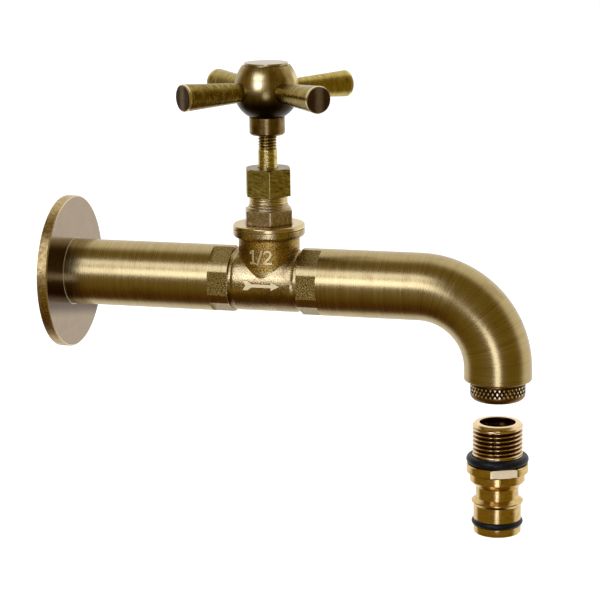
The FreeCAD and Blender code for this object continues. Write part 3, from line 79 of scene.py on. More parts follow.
# ---------------------------------------------------------------- floor, backdrop and lamps
# A pale studio: white paper behind and below, a darker brown room in front that the brass mirrors,
# and three soft lamps: one high, one in front, and a low one that lights the upright sides.
class Wire:
    """A number, colour or vector inside a material; sums and products of it add their nodes."""

    def __init__(self, tree, socket):
        self.tree = tree
        self.socket = socket

    def part(self, kind, settings=None, sockets=None, out=0):
        """One more node: its settings go in first, then the values or wires of its sockets."""
        node = self.tree.nodes.new(kind)
        for name, value in (settings or {}).items():
            setattr(node, name, value)
        for name, value in (sockets or {}).items():
            if isinstance(value, Wire):
                self.tree.links.new(value.socket, node.inputs[name])
            else:
                node.inputs[name].default_value = value
        return Wire(self.tree, node.outputs[out])

    def maths(self, operation, *others):
        """One operation on the wire and, where it needs them, on other numbers or wires."""
        return self.part("ShaderNodeMath", {"operation": operation}, dict(enumerate((self, *others))))

    def __add__(self, other):
        return self.maths("ADD", other)

    def __radd__(self, other):
        return self.maths("ADD", other)

    def __sub__(self, other):
        return self.maths("SUBTRACT", other)

    def __rsub__(self, other):
        return self.part("ShaderNodeMath", {"operation": "SUBTRACT"}, {0: other, 1: self})

    def __mul__(self, other):
        return self.maths("MULTIPLY", other)

    def __rmul__(self, other):
        return self.maths("MULTIPLY", other)

    def axis(self, letter):
        """X, Y or Z of a vector."""
        return self.part("ShaderNodeSeparateXYZ", None, {0: self}, letter)

    def vector(self, operation, other):
        """The vector with another one taken off it or multiplied into it."""
        return self.part("ShaderNodeVectorMath", {"operation": operation}, {0: self, 1: other})

    def length(self):
        """How long a vector is."""
        return self.part("ShaderNodeVectorMath", {"operation": "LENGTH"}, {0: self}, "Value")

    def joined(self, x, y, z):
        """A vector of three numbers or wires."""
        return self.part("ShaderNodeCombineXYZ", None, {0: x, 1: y, 2: z})

    def rise(self, low, high):
        """0 below low, 1 above high and a smooth rise between them."""
        sockets = {"Value": self, "From Min": low, "From Max": high}
        return self.part("ShaderNodeMapRange", {"interpolation_type": "SMOOTHSTEP"}, sockets)

    def between(self, low, high, soft):
        """1 from low to high and 0 outside, with soft edges."""
        return self.rise(low - soft, low + soft) * (1 - self.rise(high - soft, high + soft))

    def mix(self, first, second):
        """A colour: the first where the wire is 0, the second where it is 1."""
        settings = {"data_type": "RGBA", "clamp_factor": True}
        return self.part("ShaderNodeMix", settings, {0: self, 6: first, 7: second}, 2)

    def grain(self, per_unit, detail=3.0, roughness=0.6):
        """Clouds of light and dark at a vector, so many to a unit of it."""
        sockets = {"Vector": self, "Scale": per_unit, "Detail": detail, "Roughness": roughness}
        return self.part("ShaderNodeTexNoise", None, sockets)


WHITE = (1.0, 1.0, 1.0, 1.0)
BLACK = (0.0, 0.0, 0.0, 1.0)
PLAIN_LEVEL = (0.55, 0.55, 0.55, 1.0)
ROOM_FLOOR = (0.10, 0.035, 0.002, 1.0)
ROOM_WALL = (0.21, 0.145, 0.012, 1.0)
BACKDROP_EDGE = (0.02, 0.42)
ROOM_CORNER = (-1.0, -0.45)
PAPER = (0.9, 0.9, 0.9, 1.0)
PAPER_GLOW = (0.75, 0.75, 0.75, 1.0)
FLOOR_HEIGHT = -0.42
FLOOR_HALF = 6.0

world = bpy.data.worlds.new("studio")
bpy.context.scene.world = world
world.use_nodes = True
sky = world.node_tree
direction = Wire(sky, sky.nodes.new("ShaderNodeTexCoord").outputs["Generated"])
backdrop = direction.axis("Y").rise(*BACKDROP_EDGE)
room = direction.axis("Z").rise(*ROOM_CORNER).mix(ROOM_FLOOR, ROOM_WALL)
mirrored = backdrop.mix(room, WHITE)
camera_ray = direction.part("ShaderNodeLightPath", None, None, "Is Camera Ray")
glossy_ray = direction.part("ShaderNodeLightPath", None, None, "Is Glossy Ray")
through_ray = direction.part("ShaderNodeLightPath", None, None, "Is Transmission Ray")
around_tap = (camera_ray + through_ray).mix(glossy_ray.mix(PLAIN_LEVEL, mirrored), WHITE)
sky.links.new(around_tap.socket, sky.nodes["Background"].inputs["Color"])

corners = ((-1, -1), (1, -1), (1, 1), (-1, 1))
floor_mesh = bpy.data.meshes.new("floor")
floor_mesh.from_pydata(
    [(x * FLOOR_HALF, y * FLOOR_HALF, FLOOR_HEIGHT) for x, y in corners], [], [(0, 1, 2, 3)]
)
floor = bpy.data.objects.new("floor", floor_mesh)
bpy.context.scene.collection.objects.link(floor)
floor_paper = bpy.data.materials.new("white paper")
floor_paper.use_nodes = True
paper_tree = floor_paper.node_tree
paper = paper_tree.nodes["Principled BSDF"]
seen = Wire(paper_tree, paper_tree.nodes.new("ShaderNodeLightPath").outputs["Is Camera Ray"])
paper.inputs["Base Color"].default_value = PAPER
paper.inputs["Roughness"].default_value = 0.9
paper_tree.links.new(seen.mix(BLACK, PAPER_GLOW).socket, paper.inputs["Emission Color"])
paper.inputs["Emission Strength"].default_value = 1.0
floor_mesh.materials.append(floor_paper)
floor.visible_glossy = False

DAYLIGHT = (0.92, 1.02, 1.40)


def soft_lamp(name, around, above, distance, size, radiance):
    """A flat soft lamp that faces the tap, at degrees round from the front and above it."""
    lamp = bpy.data.lights.new(name, "AREA")
    lamp.shape = "RECTANGLE"
    lamp.size, lamp.size_y = size
    lamp.energy = radiance * math.pi * size[0] * size[1]
    lamp.color = DAYLIGHT
    holder = bpy.data.objects.new(name, lamp)
    turn, tilt = math.radians(around), math.radians(above)
    towards = Vector(
        (math.sin(turn) * math.cos(tilt), -math.cos(turn) * math.cos(tilt), math.sin(tilt))
    )
    holder.location = LOOKED_AT + towards * distance
    holder.rotation_euler = towards.to_track_quat("Z", "Y").to_euler()
    holder.visible_camera = False
    bpy.context.scene.collection.objects.link(holder)


soft_lamp("high lamp", -20.0, 41.0, 1.4, (0.80, 0.44), 2.1)
soft_lamp("front lamp", -15.0, 17.0, 1.4, (0.62, 0.50), 3.6)
soft_lamp("low lamp", 13.0, -11.0, 1.5, (0.40, 0.52), 3.6)

# ---------------------------------------------------------------- wall flange
# Round plate that covers the hole in the wall: antique brass, its face brushed smooth, with a painted
# dark reflection of the tube and its shadow beside the tube and painted highlights on the rim and
# round the tube, its edge left mottled. It lies loose round the tube, against the wall.
FLANGE_EDGE = 32.0
TUBE_RADIUS = 14.0
FACE_LIGHT = (0.39, 0.30, 0.20, 1.0)
FACE_DARK = (0.30, 0.22, 0.135, 1.0)
FACE_PAINTED_REFLECTION = (0.06, 0.022, 0.003, 1.0)
EDGE_GOLD = (0.66, 0.50, 0.22, 1.0)
EDGE_BROWN = (0.26, 0.16, 0.05, 1.0)
EDGE_GLINT = (0.85, 0.74, 0.50, 1.0)
REFLECTION_LEAN = 0.215
REFLECTION_FOOT = (-21.0, -15.0)
REFLECTION_TOP = (10.0, 15.0)


def new_finish(name):
    """A material, its shader, and a wire of the place on the piece in millimetres."""
    material = bpy.data.materials.new(name)
    material.use_nodes = True
    tree = material.node_tree
    shader = tree.nodes["Principled BSDF"]
    metres = Wire(tree, tree.nodes.new("ShaderNodeTexCoord").outputs["Object"])
    return material, shader, metres.vector("MULTIPLY", (1000.0, 1000.0, 1000.0))


def fill(shader, sockets):
    """The shader's own sockets, by value or by wire."""
    for name, value in sockets.items():
        if isinstance(value, Wire):
            value.tree.links.new(value.socket, shader.inputs[name])
        else:
            shader.inputs[name].default_value = value


def dress(piece_name, material):
    """Puts a finish on a piece of the part, through the piece's own material slots."""
    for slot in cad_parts[piece_name].material_slots:
        slot.link = "OBJECT"
        slot.material = material


def from_pipe_line(place):
    """Distance from the pipe's centre line."""
    return place.vector("MULTIPLY", (0.0, 1.0, 1.0)).length()


def hairlines(place, across, along, per_mm=2.6, streak=0.03):
    """Brush lines: fine ones with broader bands among them, 0 to 1 with 0.5 in the middle."""
    fine = place.joined(across * per_mm, along * streak, 0.0)
    broad = place.joined(across * (per_mm * 0.22), along * (streak * 0.6), 9.0)
    return fine.grain(1.0, 2.0, 0.7) * 0.6 + broad.grain(1.0, 2.0, 0.5) * 0.4


def raised(height, depth_mm):
    """The normal of a surface whose height varies by so many millimetres."""
    sockets = {"Strength": 1.0, "Distance": depth_mm / 1000, "Height": height}
    return height.part("ShaderNodeBump", None, sockets)


flange_brass, shader, place = new_finish("flange brass")
ring = from_pipe_line(place)
lines = hairlines(place, place.axis("Z"), place.axis("Y"), 1.6)
clouds = place.grain(0.12, 3.0)
face = (lines * 0.7 + clouds - 0.35).mix(FACE_DARK, FACE_LIGHT)
specks = place.joined(place.axis("X") * 0.7, place.axis("Y"), place.axis("Z")).grain(1.1, 4.0, 0.7)
edge = specks.rise(0.28, 0.72).mix(EDGE_BROWN, EDGE_GOLD)
on_edge = ring.rise(FLANGE_EDGE + 0.1, FLANGE_EDGE + 0.35)
# Painted highlights: a light line on the rim's bevel and another round the tube, where edges catch
# the lamps.
at_rim = ring.between(FLANGE_EDGE - 0.1, FLANGE_EDGE + 0.3, 0.12)
at_tube = 1 - ring.rise(TUBE_RADIUS + 0.25, TUBE_RADIUS + 0.55)
painted_glint = at_rim * 0.8 + at_tube
# Painted reflection: a dark band beside the tube stands in for the tube and its shadow mirrored in
# the face.
beside_tube = place.axis("Z") + place.axis("Y") * REFLECTION_LEAN
painted_reflection = beside_tube.rise(*REFLECTION_FOOT) * (1 - beside_tube.rise(*REFLECTION_TOP))
face = (painted_reflection * 0.9).mix(face, FACE_PAINTED_REFLECTION)
fill(
    shader,
    {
        "Base Color": painted_glint.mix(on_edge.mix(face, edge), EDGE_GLINT),
        "Metallic": 1 - at_tube * 0.8,
        "Roughness": 0.13 + lines * 0.08 + on_edge * 0.16 + painted_glint * 0.25,
        "Normal": raised(lines * 0.5 + on_edge * specks * 4, 0.01),
    },
)
dress("wall_flange", flange_brass)

# ---------------------------------------------------------------- inlet nipple, its ring and washer
# Plain brass pipe that carries the tap: its inner thread takes the pipe in the wall, and its other
# end screws into the body on a fibre washer. A white plastic ring keeps the tube centred on it.
TURNED_LIGHT = (0.66, 0.50, 0.22, 1.0)
TURNED_DARK = (0.50, 0.36, 0.14, 1.0)
PLASTIC = (0.72, 0.72, 0.69, 1.0)
PLASTIC_DULL = (0.64, 0.64, 0.60, 1.0)
FIBRE = (0.24, 0.09, 0.05, 1.0)
FIBRE_DARK = (0.14, 0.05, 0.03, 1.0)

turned_brass, shader, place = new_finish("plain turned brass")
streaks = place.joined(place.axis("X") * 3, place.axis("Z") * 3, place.axis("Y") * 0.1)
lines = streaks.grain(1.0, 2.0)
fill(
    shader,
    {
        "Base Color": lines.mix(TURNED_DARK, TURNED_LIGHT),
        "Metallic": 1.0,
        "Roughness": 0.22 + lines * 0.15,
        "Normal": raised(lines, 0.01),
    },
)
dress("inlet_nipple", turned_brass)

white_plastic, shader, place = new_finish("white plastic")
clouds = place.grain(1.5, 3.0)
fill(
    shader,
    {
        "Base Color": clouds.mix(PLASTIC_DULL, PLASTIC),
        "Roughness": 0.38 + clouds * 0.12,
        "Normal": raised(clouds, 0.01),
    },
)
dress("tube_centring_ring", white_plastic)

fibre, shader, place = new_finish("red fibre")
threads = place.grain(3.0, 4.0, 0.7)
fill(
    shader,
    {
        "Base Color": threads.mix(FIBRE_DARK, FIBRE),
        "Roughness": 0.75,
        "Normal": raised(threads, 0.03),
    },
)
dress("inlet_gasket", fibre)

# ---------------------------------------------------------------- inlet tube
# Thin brass tube from the wall to the valve: antique finish, brushed round and round on a lathe,
# so that its hairlines run round it. It slips over the body's spigot.
TUBE_LIGHT = (0.56, 0.44, 0.21, 1.0)
TUBE_DARK = (0.36, 0.26, 0.10, 1.0)
TUBE_PATINA = (0.24, 0.15, 0.05, 1.0)


def brushed_colour(place, lines, light, dark, patina):
    """Antique brass: brush lines of light and dark metal, with thin clouds of brown patina."""
    clouds = place.grain(0.11, 3.0, 0.55)
    metal = ((lines - 0.5) * 2.2 + 0.5).mix(dark, light)
    return (clouds.rise(0.50, 0.80) * 0.5).mix(metal, patina)


tube_brass, shader, place = new_finish("brushed tube")
lines = hairlines(place, place.axis("X"), place.axis("Z"))
fill(
    shader,
    {
        "Base Color": brushed_colour(place, lines, TUBE_LIGHT, TUBE_DARK, TUBE_PATINA),
        "Metallic": 1.0,
        "Roughness": 0.27 + (lines - 0.5) * 0.16,
        "Normal": raised(lines, 0.012),
    },
)
dress("inlet_tube", tube_brass)

# ---------------------------------------------------------------- valve body
# Sand-cast brass body, six-sided collars at both ends whose corners are turned down with the
# tube. The casting keeps its grain and its dark finish; edges, size mark and arrow are rubbed light.
# Painted shade darkens the lower half of the globe and the band under the bonnet's rim, corners and
# grooves take patina and painted shade, and a painted highlight runs along the seam round the neck.
VALVE_X = 91.87
GLOBE_RADIUS = 13.15
NECK_RADIUS = 12.8
COLLAR_INNER = 14.9
COLLAR_CORNER = 14.0
RIM_FOOT = 18.9
SHADE_FOOT = -11.5
SHADE_TOP = -3.5
ARROW_HALF = 2.8
ARROW_BACK = -8.5
CAST_LIGHT = (0.76, 0.60, 0.31, 1.0)
CAST_DARK = (0.15, 0.08, 0.015, 1.0)
POCKET_LIGHT = (0.42, 0.31, 0.10, 1.0)
POCKET_DARK = (0.15, 0.09, 0.018, 1.0)
PANEL_LIGHT = (0.66, 0.44, 0.12, 1.0)
PANEL_DARK = (0.22, 0.12, 0.015, 1.0)
MARK_LIGHT = (0.92, 0.75, 0.40, 1.0)


def from_valve_line(place):
    """Distance from the valve's upright centre line."""
    offset = place.vector("SUBTRACT", (VALVE_X, 0.0, 0.0))
    return offset.vector("MULTIPLY", (1.0, 1.0, 0.0)).length()


def closed_in(place, reach_mm, inside):
    """How much of what is near a place is metal, or seen from inside, how much of it is air."""
    settings = {"samples": 8, "only_local": True, "inside": inside}
    return 1 - place.part("ShaderNodeAmbientOcclusion", settings, {"Distance": reach_mm / 1000}, "AO")


def recess(place, reach_mm):
    """1 in corners and grooves and 0 on open faces: darkening there stands for patina that polish
    never reaches and for painted shade.
    """
    return closed_in(place, reach_mm, False)


def worn_edge(place, reach_mm):
    """1 on outer edges, where the dark finish is rubbed off, and 0 on faces."""
    return closed_in(place, reach_mm, True)


cast_brass, shader, place = new_finish("cast body")
off_pipe = from_pipe_line(place)
off_valve = from_valve_line(place)
off_middle = (place.axis("X") - VALVE_X).maths("ABSOLUTE")
height = place.axis("Z")
sand = place.grain(1.7, 3.0, 0.7)
stains = place.grain(0.14, 3.0, 0.6)
globe = ((sand - 0.5) * 1.8 + (stains - 0.5) * 1.6 + 0.55).mix(CAST_DARK, CAST_LIGHT)
# Painted shade: the lower half of the globe is darkened towards CAST_DARK.
globe = (height.between(SHADE_FOOT, SHADE_TOP, 1.5) * 0.6).mix(globe, CAST_DARK)
lines = hairlines(place, place.axis("X"), place.axis("Z"))
turned = brushed_colour(place, lines, TUBE_LIGHT, TUBE_DARK, TUBE_PATINA)
pocket = ((sand - 0.5) * 3 + 0.5).mix(POCKET_DARK, POCKET_LIGHT)
on_collar = off_middle.rise(COLLAR_INNER - 0.1, COLLAR_INNER + 0.1)
on_corner = on_collar * off_pipe.rise(COLLAR_CORNER - 0.10, COLLAR_CORNER - 0.03)
panel = ((sand - 0.5) * 2.6 + (stains - 0.5) * 1.5 + 0.5).mix(PANEL_DARK, PANEL_LIGHT)
on_panel = off_pipe.rise(GLOBE_RADIUS + 0.1, GLOBE_RADIUS + 0.5) * (1 - on_collar)
on_panel = on_panel * (1 - height.rise(RIM_FOOT - 0.2, RIM_FOOT + 0.1))
on_figure = on_panel * off_valve.rise(NECK_RADIUS + 0.12, NECK_RADIUS + 0.3)
at_arrow = (1 - on_collar) * height.between(-ARROW_HALF, ARROW_HALF, 0.2)
at_arrow = at_arrow * (1 - place.axis("Y").rise(ARROW_BACK - 0.5, ARROW_BACK + 0.5))
on_arrow = at_arrow * off_pipe.rise(GLOBE_RADIUS + 0.12, GLOBE_RADIUS + 0.3)
cast = on_collar.mix(globe, pocket)
cast = on_corner.mix(cast, turned)
cast = on_panel.mix(cast, panel)
# Painted highlight along the seam where the neck meets the globe, as if its fillet caught the lamps.
at_seam = off_pipe.between(GLOBE_RADIUS + 0.05, GLOBE_RADIUS + 0.8, 0.15) * (1 - on_collar)
# Painted shadow: a dark band just under the bonnet's rim.
shadow_under_rim = height.between(RIM_FOOT - 0.7, RIM_FOOT + 0.1, 0.25) * 0.9
# Patina and painted shade in corners and grooves.
patina_and_shade = recess(place, 1.5).rise(0.06, 0.42) * 0.85
patina_and_shade = patina_and_shade.maths("MAXIMUM", shadow_under_rim)
wear = worn_edge(place, 0.5).rise(0.15, 0.5) * (1 - on_collar * 0.6)
on_mark = on_figure.maths("MAXIMUM", on_arrow)
# Lightened: figures, arrow and worn edges rubbed light, and the painted highlight along the seam.
lightened = on_figure * 0.45 + on_arrow * 0.8 + wear * 0.8 + at_seam * 0.3
lightened = lightened * (0.8 + sand * 0.4) * (1 - patina_and_shade)
grainy = sand * (1 - on_corner * 0.9) * (1 - on_mark * 0.85)
grainy = grainy * (0.5 + on_collar * 0.5 + on_panel * 0.5)
fill(
    shader,
    {
        "Base Color": lightened.mix(patina_and_shade.mix(cast, PANEL_DARK), MARK_LIGHT),
        "Metallic": 1 - on_figure * 0.35 - on_arrow * 0.45,
        "Roughness": 0.26 + (sand - 0.5) * 0.25 + on_mark * 0.12,
        "Normal": raised(grainy, 0.17),
    },
)
dress("valve_body", cast_brass)

# ---------------------------------------------------------------- bonnet and what packs the gland
# Cast cover of the body, screwed into its neck on a washer: turned rim, six cast sides, taper and
# threaded neck. Inside its top lie the packing ring and the brass ring that presses it.
BONNET_RIM_TOP = 24.2
BONNET_HEX_TOP = 30.3
BONNET_TAPER_TOP = 32.8
BONNET_LIGHT = (0.78, 0.64, 0.40, 1.0)
BONNET_DARK = (0.20, 0.12, 0.04, 1.0)
RIM_LIGHT = (0.96, 0.78, 0.42, 1.0)
RIM_DARK = (0.42, 0.28, 0.09, 1.0)
NUT_WORN = (0.86, 0.74, 0.44, 1.0)
NECK_PITCH = 1.1

bonnet_brass, shader, place = new_finish("cast bonnet")
height = place.axis("Z")
sand = place.grain(1.2, 3.0, 0.65)
lines = hairlines(place, height, place.axis("X"), 3.0)
rough_cast = ((sand - 0.5) * 1.8 + 0.5).mix(BONNET_DARK, BONNET_LIGHT)
rim = ((lines - 0.5) * 3 + 0.5).mix(RIM_DARK, RIM_LIGHT)
on_sides = height.between(BONNET_RIM_TOP + 0.1, BONNET_TAPER_TOP, 0.1)
on_neck = height.rise(BONNET_HEX_TOP, BONNET_HEX_TOP + 0.6)
# Patina and painted shade in corners and grooves.
patina_and_shade = recess(place, 1.2).rise(0.08, 0.45) * 0.8
wear = worn_edge(place, 0.6).rise(0.12, 0.45) * (0.5 + sand * 0.6)
ridges = (height * (2 * math.pi / NECK_PITCH)).maths("SINE")
fill(
    shader,
    {
        "Base Color": wear.mix(patina_and_shade.mix(on_sides.mix(rim, rough_cast), PANEL_DARK), NUT_WORN),
        "Metallic": 1.0,
        "Roughness": 0.27 + on_sides * 0.06 + (sand - 0.5) * 0.25,
        "Normal": raised(sand * on_sides * 0.7 + lines * 0.3 + on_neck * ridges * 1.2, 0.10),
    },
)
dress("bonnet", bonnet_brass)
dress("bonnet_gasket", fibre)
dress("gland_packing", white_plastic)
dress("gland_follower", turned_brass)

# ---------------------------------------------------------------- gland nut
# Six-sided brass nut, milled on its sides and bevelled at the top; it screws down on the bonnet's
# neck and squeezes the packing round the spindle.
NUT_LIGHT = (0.60, 0.49, 0.13, 1.0)
NUT_DARK = (0.20, 0.14, 0.02, 1.0)
NUT_TOP_DARK = (0.17, 0.13, 0.08, 1.0)
NUT_TOP = 47.7

nut_brass, shader, place = new_finish("milled nut")
height = place.axis("Z")
slant = height + place.axis("X") * 0.35
streaks = place.joined(place.axis("X") * 0.25, place.axis("Y") * 0.25, slant * 1.9)
mill = streaks.grain(1.0, 3.0, 0.75)
clouds = place.grain(0.6, 3.0, 0.6)
sides = ((mill - 0.5) * 3 + (clouds - 0.5) * 1.5 + 0.45).mix(NUT_DARK, NUT_LIGHT)
# Patina and painted shade in corners and grooves.
patina_and_shade = recess(place, 1.2).rise(0.08, 0.45) * 0.8
wear = worn_edge(place, 0.5).rise(0.2, 0.5) * 0.75
# The top face is given a darker colour.
on_top = height.rise(NUT_TOP - 0.1, NUT_TOP - 0.02)
sides = (on_top * 0.8).mix(sides, NUT_TOP_DARK)
fill(
    shader,
    {
        "Base Color": wear.mix(patina_and_shade.mix(sides, NUT_DARK), NUT_WORN),
        "Metallic": 1.0,
        "Roughness": 0.32 + (mill - 0.5) * 0.3,
        "Normal": raised(mill, 0.06),
    },
)
dress("gland_nut", nut_brass)

# ---------------------------------------------------------------- valve plate, its washer and nut
# Brass plate with a stem in the spindle's foot; a rubber washer held by a small nut shuts the seat.
RUBBER = (0.004, 0.005, 0.006, 1.0)
RUBBER_WORN = (0.014, 0.017, 0.018, 1.0)


def rubber_finish(name):
    """Black moulded rubber, satin, with a faint dusty bloom."""
    material, shader, place = new_finish(name)
    bloom = place.grain(1.2, 4.0, 0.65)
    fill(
        shader,
        {
            "Base Color": bloom.rise(0.45, 0.75).mix(RUBBER, RUBBER_WORN),
            "Roughness": 0.32 + bloom * 0.12,
            "Specular IOR Level": 0.25,
            "Normal": raised(bloom, 0.01),
        },
    )
    return material


dress("jumper", turned_brass)
dress("washer_nut", turned_brass)
dress("seat_washer", rubber_finish("seat rubber"))

# ---------------------------------------------------------------- spindle
# Bright turned brass rod. Its foot and its coarse screw work in the bonnet; the top has a fine
# M8 thread that the handle's nut tightens on, and six turns of it show under the handle.
SPINDLE_FOOT = 7.55
SPINDLE_TOP = 87.4
SPINDLE_RADIUS = 4.0
SPINDLE_FOOT_RADIUS = 4.9
SCREW_RADIUS = 5.5
STEM_HOLE_RADIUS = 3.06
STEM_HOLE_TOP = 16.55
FINE_PITCH = 1.25
FINE_DEPTH = 0.55
FINE_ROWS = 16
FINE_THREAD_FOOT = 54.6
SCREW_PITCH = 2.0
SCREW_DEPTH = 0.9
SCREW_ROWS = 12
SCREW_FOOT = 13.55
SCREW_TOP = 24.05
ROD_BEVEL = 0.6
ROD_SIDES = 64
CREST_INSET = 0.01
FLANK_SLOPE = 1.25
CREST_FLAT = 0.12
ROD_LIGHT = (0.86, 0.72, 0.34, 1.0)
ROD_DARK = (0.36, 0.24, 0.04, 1.0)
ROD_GROOVE_SHADE = (0.06, 0.03, 0.005, 1.0)


def thread_dip(height, turn, foot, top, pitch, depth):
    """How far the surface lies under a thread's crest at a height and a share of a turn."""
    phase = ((height - foot) / pitch - turn) % 1.0
    flank = min(1.0, max(0.0, abs(2.0 * phase - 1.0) * FLANK_SLOPE - CREST_FLAT))
    fade = min(1.0, max(0.0, (height - foot) / pitch), max(0.0, (top - height) / pitch))
    return depth * flank * fade


def turned_mesh(name, rings, sides, bored_through=False):
    """A turned piece: each ring is a height and a radius, or a radius at each share of a turn.

    Discs close its first and last rings, or else those two meet round a bore from end to end.
    """
    points, faces = [], []
    for height, radius in rings:
        for side in range(sides):
            turn = side / sides
            reach = radius(turn) if callable(radius) else radius
            angle = 2 * math.pi * turn
            points.append((reach * math.cos(angle), reach * math.sin(angle), height))
    for row in range(len(rings) - 1):
        for side in range(sides):
            after = (side + 1) % sides
            lower, upper = row * sides, (row + 1) * sides
            faces.append((lower + side, lower + after, upper + after, upper + side))
    last = (len(rings) - 1) * sides
    if bored_through:
        for side in range(sides):
            after = (side + 1) % sides
            faces.append((last + side, last + after, after, side))
    else:
        faces.append(tuple(reversed(range(sides))))
        faces.append(tuple(range(last, last + sides)))
    mesh = bpy.data.meshes.new(name)
    mesh.from_pydata(points, [], faces)
    return mesh


def stand(name, mesh, axis_x, material, sharp=35.0):
    """A piece of a mesh in millimetres, stood on an upright line of the tap."""
    mesh.transform(Matrix.Translation((axis_x / 1000, 0, 0)) @ Matrix.Scale(0.001, 4))
    mesh.polygons.foreach_set("use_smooth", [True] * len(mesh.polygons))
    mesh.set_sharp_from_angle(angle=math.radians(sharp))
    mesh.materials.append(material)
    piece = bpy.data.objects.new(name, mesh)
    bpy.context.scene.collection.objects.link(piece)
    return piece


def threaded_rows(foot, top, pitch, depth, radius, rows_per_turn):
    """Rings up a thread, from its foot to its top, so many to a turn of it."""
    count = int(round((top - foot) / pitch * rows_per_turn))
    rows = []
    for index in range(count + 1):
        height = foot + (top - foot) * index / count

        def reach(turn, height=height):
            return radius - thread_dip(height, turn, foot, top, pitch, depth)

        rows.append((height, reach))
    return rows


rod_brass, shader, place = new_finish("bright rod")
streaks = place.joined(place.axis("X") * 0.3, place.axis("Y") * 0.3, place.axis("Z") * 1.6)
lines = streaks.grain(1.0, 3.0, 0.7)
off_line = from_valve_line(place)
on_thread = place.axis("Z").rise(FINE_THREAD_FOOT - 0.2, FINE_THREAD_FOOT + 0.2)
# Painted shade: the grooves of the fine thread are darkened.
groove_shade = on_thread * (1 - off_line.rise(SPINDLE_RADIUS - FINE_DEPTH, SPINDLE_RADIUS - 0.12))
metal = ((lines - 0.5) * 3 + 0.5).mix(ROD_DARK, ROD_LIGHT)
fill(
    shader,
    {
        "Base Color": (groove_shade * 0.9).mix(metal, ROD_GROOVE_SHADE),
        "Metallic": 1.0,
        "Roughness": 0.2 + lines * 0.12,
        "Normal": raised(lines, 0.05),
    },
)
rows = [
    (STEM_HOLE_TOP, STEM_HOLE_RADIUS),
    (SPINDLE_FOOT, STEM_HOLE_RADIUS),
    (SPINDLE_FOOT, SPINDLE_FOOT_RADIUS),
    (SCREW_FOOT, SPINDLE_FOOT_RADIUS),
]
rows += threaded_rows(
    SCREW_FOOT, SCREW_TOP, SCREW_PITCH, SCREW_DEPTH, SCREW_RADIUS - CREST_INSET, SCREW_ROWS
)
rows += [(SCREW_TOP, SPINDLE_RADIUS)]
rows += threaded_rows(
    FINE_THREAD_FOOT, SPINDLE_TOP - ROD_BEVEL, FINE_PITCH, FINE_DEPTH, SPINDLE_RADIUS, FINE_ROWS
)
rows += [(SPINDLE_TOP, SPINDLE_RADIUS - ROD_BEVEL)]
spindle = stand("spindle_rod", turned_mesh("spindle_rod", rows, ROD_SIDES), VALVE_X, rod_brass)
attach(spindle, "handle")
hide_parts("spindle")

# ---------------------------------------------------------------- handle hub
# Brass ball on a short boss, turned and brushed upright by hand, with a painted highlight between
# the arms and painted shade underneath. The arms screw into it.
BALL_MIDDLE = 79.65
BALL_RADIUS = 13.0
BETWEEN_ARMS = math.radians(3.1)
UNDER_FOOT = BALL_MIDDLE - 6.15
UNDER_TOP = BALL_MIDDLE + 5.0
HIGHLIGHT_FOOT = BALL_MIDDLE + 2.5
HIGHLIGHT_TOP = BALL_MIDDLE + 8.0
BOSS_TOP = 68.8
HUB_LIGHT = (0.52, 0.40, 0.15, 1.0)
HUB_DARK = (0.26, 0.17, 0.05, 1.0)
HUB_PATINA = (0.13, 0.07, 0.025, 1.0)
HUB_SHADE = (0.012, 0.005, 0.002, 1.0)
HUB_HIGHLIGHT = (0.90, 0.76, 0.42, 1.0)

hub_brass, shader, place = new_finish("brushed hub")
offset = place.vector("SUBTRACT", (VALVE_X, 0.0, 0.0))
around = offset.axis("Y").maths("ARCTAN2", offset.axis("X"))
between_arms = ((around - BETWEEN_ARMS) * 4).maths("COSINE").rise(0.1, 0.9)
height = place.axis("Z")
lines = hairlines(place, around * BALL_RADIUS, height, 1.8, 0.06)
# Painted highlight: a light band between the arms where the lamp's reflection falls on the ball.
lightened = height.between(HIGHLIGHT_FOOT, HIGHLIGHT_TOP, 1.8) * between_arms
on_boss = 1 - height.rise(BOSS_TOP - 0.1, BOSS_TOP + 0.1)
# Painted shade: the underside of the ball goes nearly black.
under = (1 - height.rise(UNDER_FOOT, UNDER_TOP)) * (1 - on_boss)
clouds = place.grain(0.35, 4.0, 0.65)
metal = brushed_colour(place, lines, HUB_LIGHT, HUB_DARK, HUB_PATINA)
blotches = ((clouds - 0.5) * 2 + 0.15 + on_boss * 0.45).mix(metal, HUB_PATINA)
shaded = (under * 0.95).mix(blotches, HUB_SHADE)
fill(
    shader,
    {
        "Base Color": (lightened * 0.75).mix(shaded, HUB_HIGHLIGHT),
        "Metallic": 1.0,
        "Roughness": 0.30 + (lines - 0.5) * 0.25 + (clouds - 0.5) * 0.1 - lightened * 0.03,
        "Normal": raised(lines, 0.02),
    },
)
dress("handle_hub", hub_brass)

# ---------------------------------------------------------------- handle arms
# Four tapered arms, each turned from brass rod and screwed into the ball; brushed round, with a
# painted highlight round the edge of the end face, which stays dark. Each arm gets its own painted
# level of light and its underside its own depth of painted shade; painted shade also darkens the
# root beside the dark joint with the ball.
ARM_REACH = 39.9
ARM_SEAT = 12.75
ARM_ROUNDING = 0.7
ARM_UNDERSIDE = (-7.0, -0.5)
ARM_LIGHT = (0.58, 0.45, 0.11, 1.0)
ARM_DARK = (0.17, 0.10, 0.015, 1.0)
END_LIGHT = (0.12, 0.06, 0.025, 1.0)
END_DARK = (0.03, 0.012, 0.006, 1.0)
RIM_GLINT = (0.90, 0.78, 0.48, 1.0)
SEAM_AND_SHADE = (0.06, 0.03, 0.01, 1.0)
ARM_PAINTED_LIGHT = (0.75, 0.5, 0.25, 0.4)
UNDER_PAINTED_SHADE = (0.1, 0.2, 0.7, 0.7)

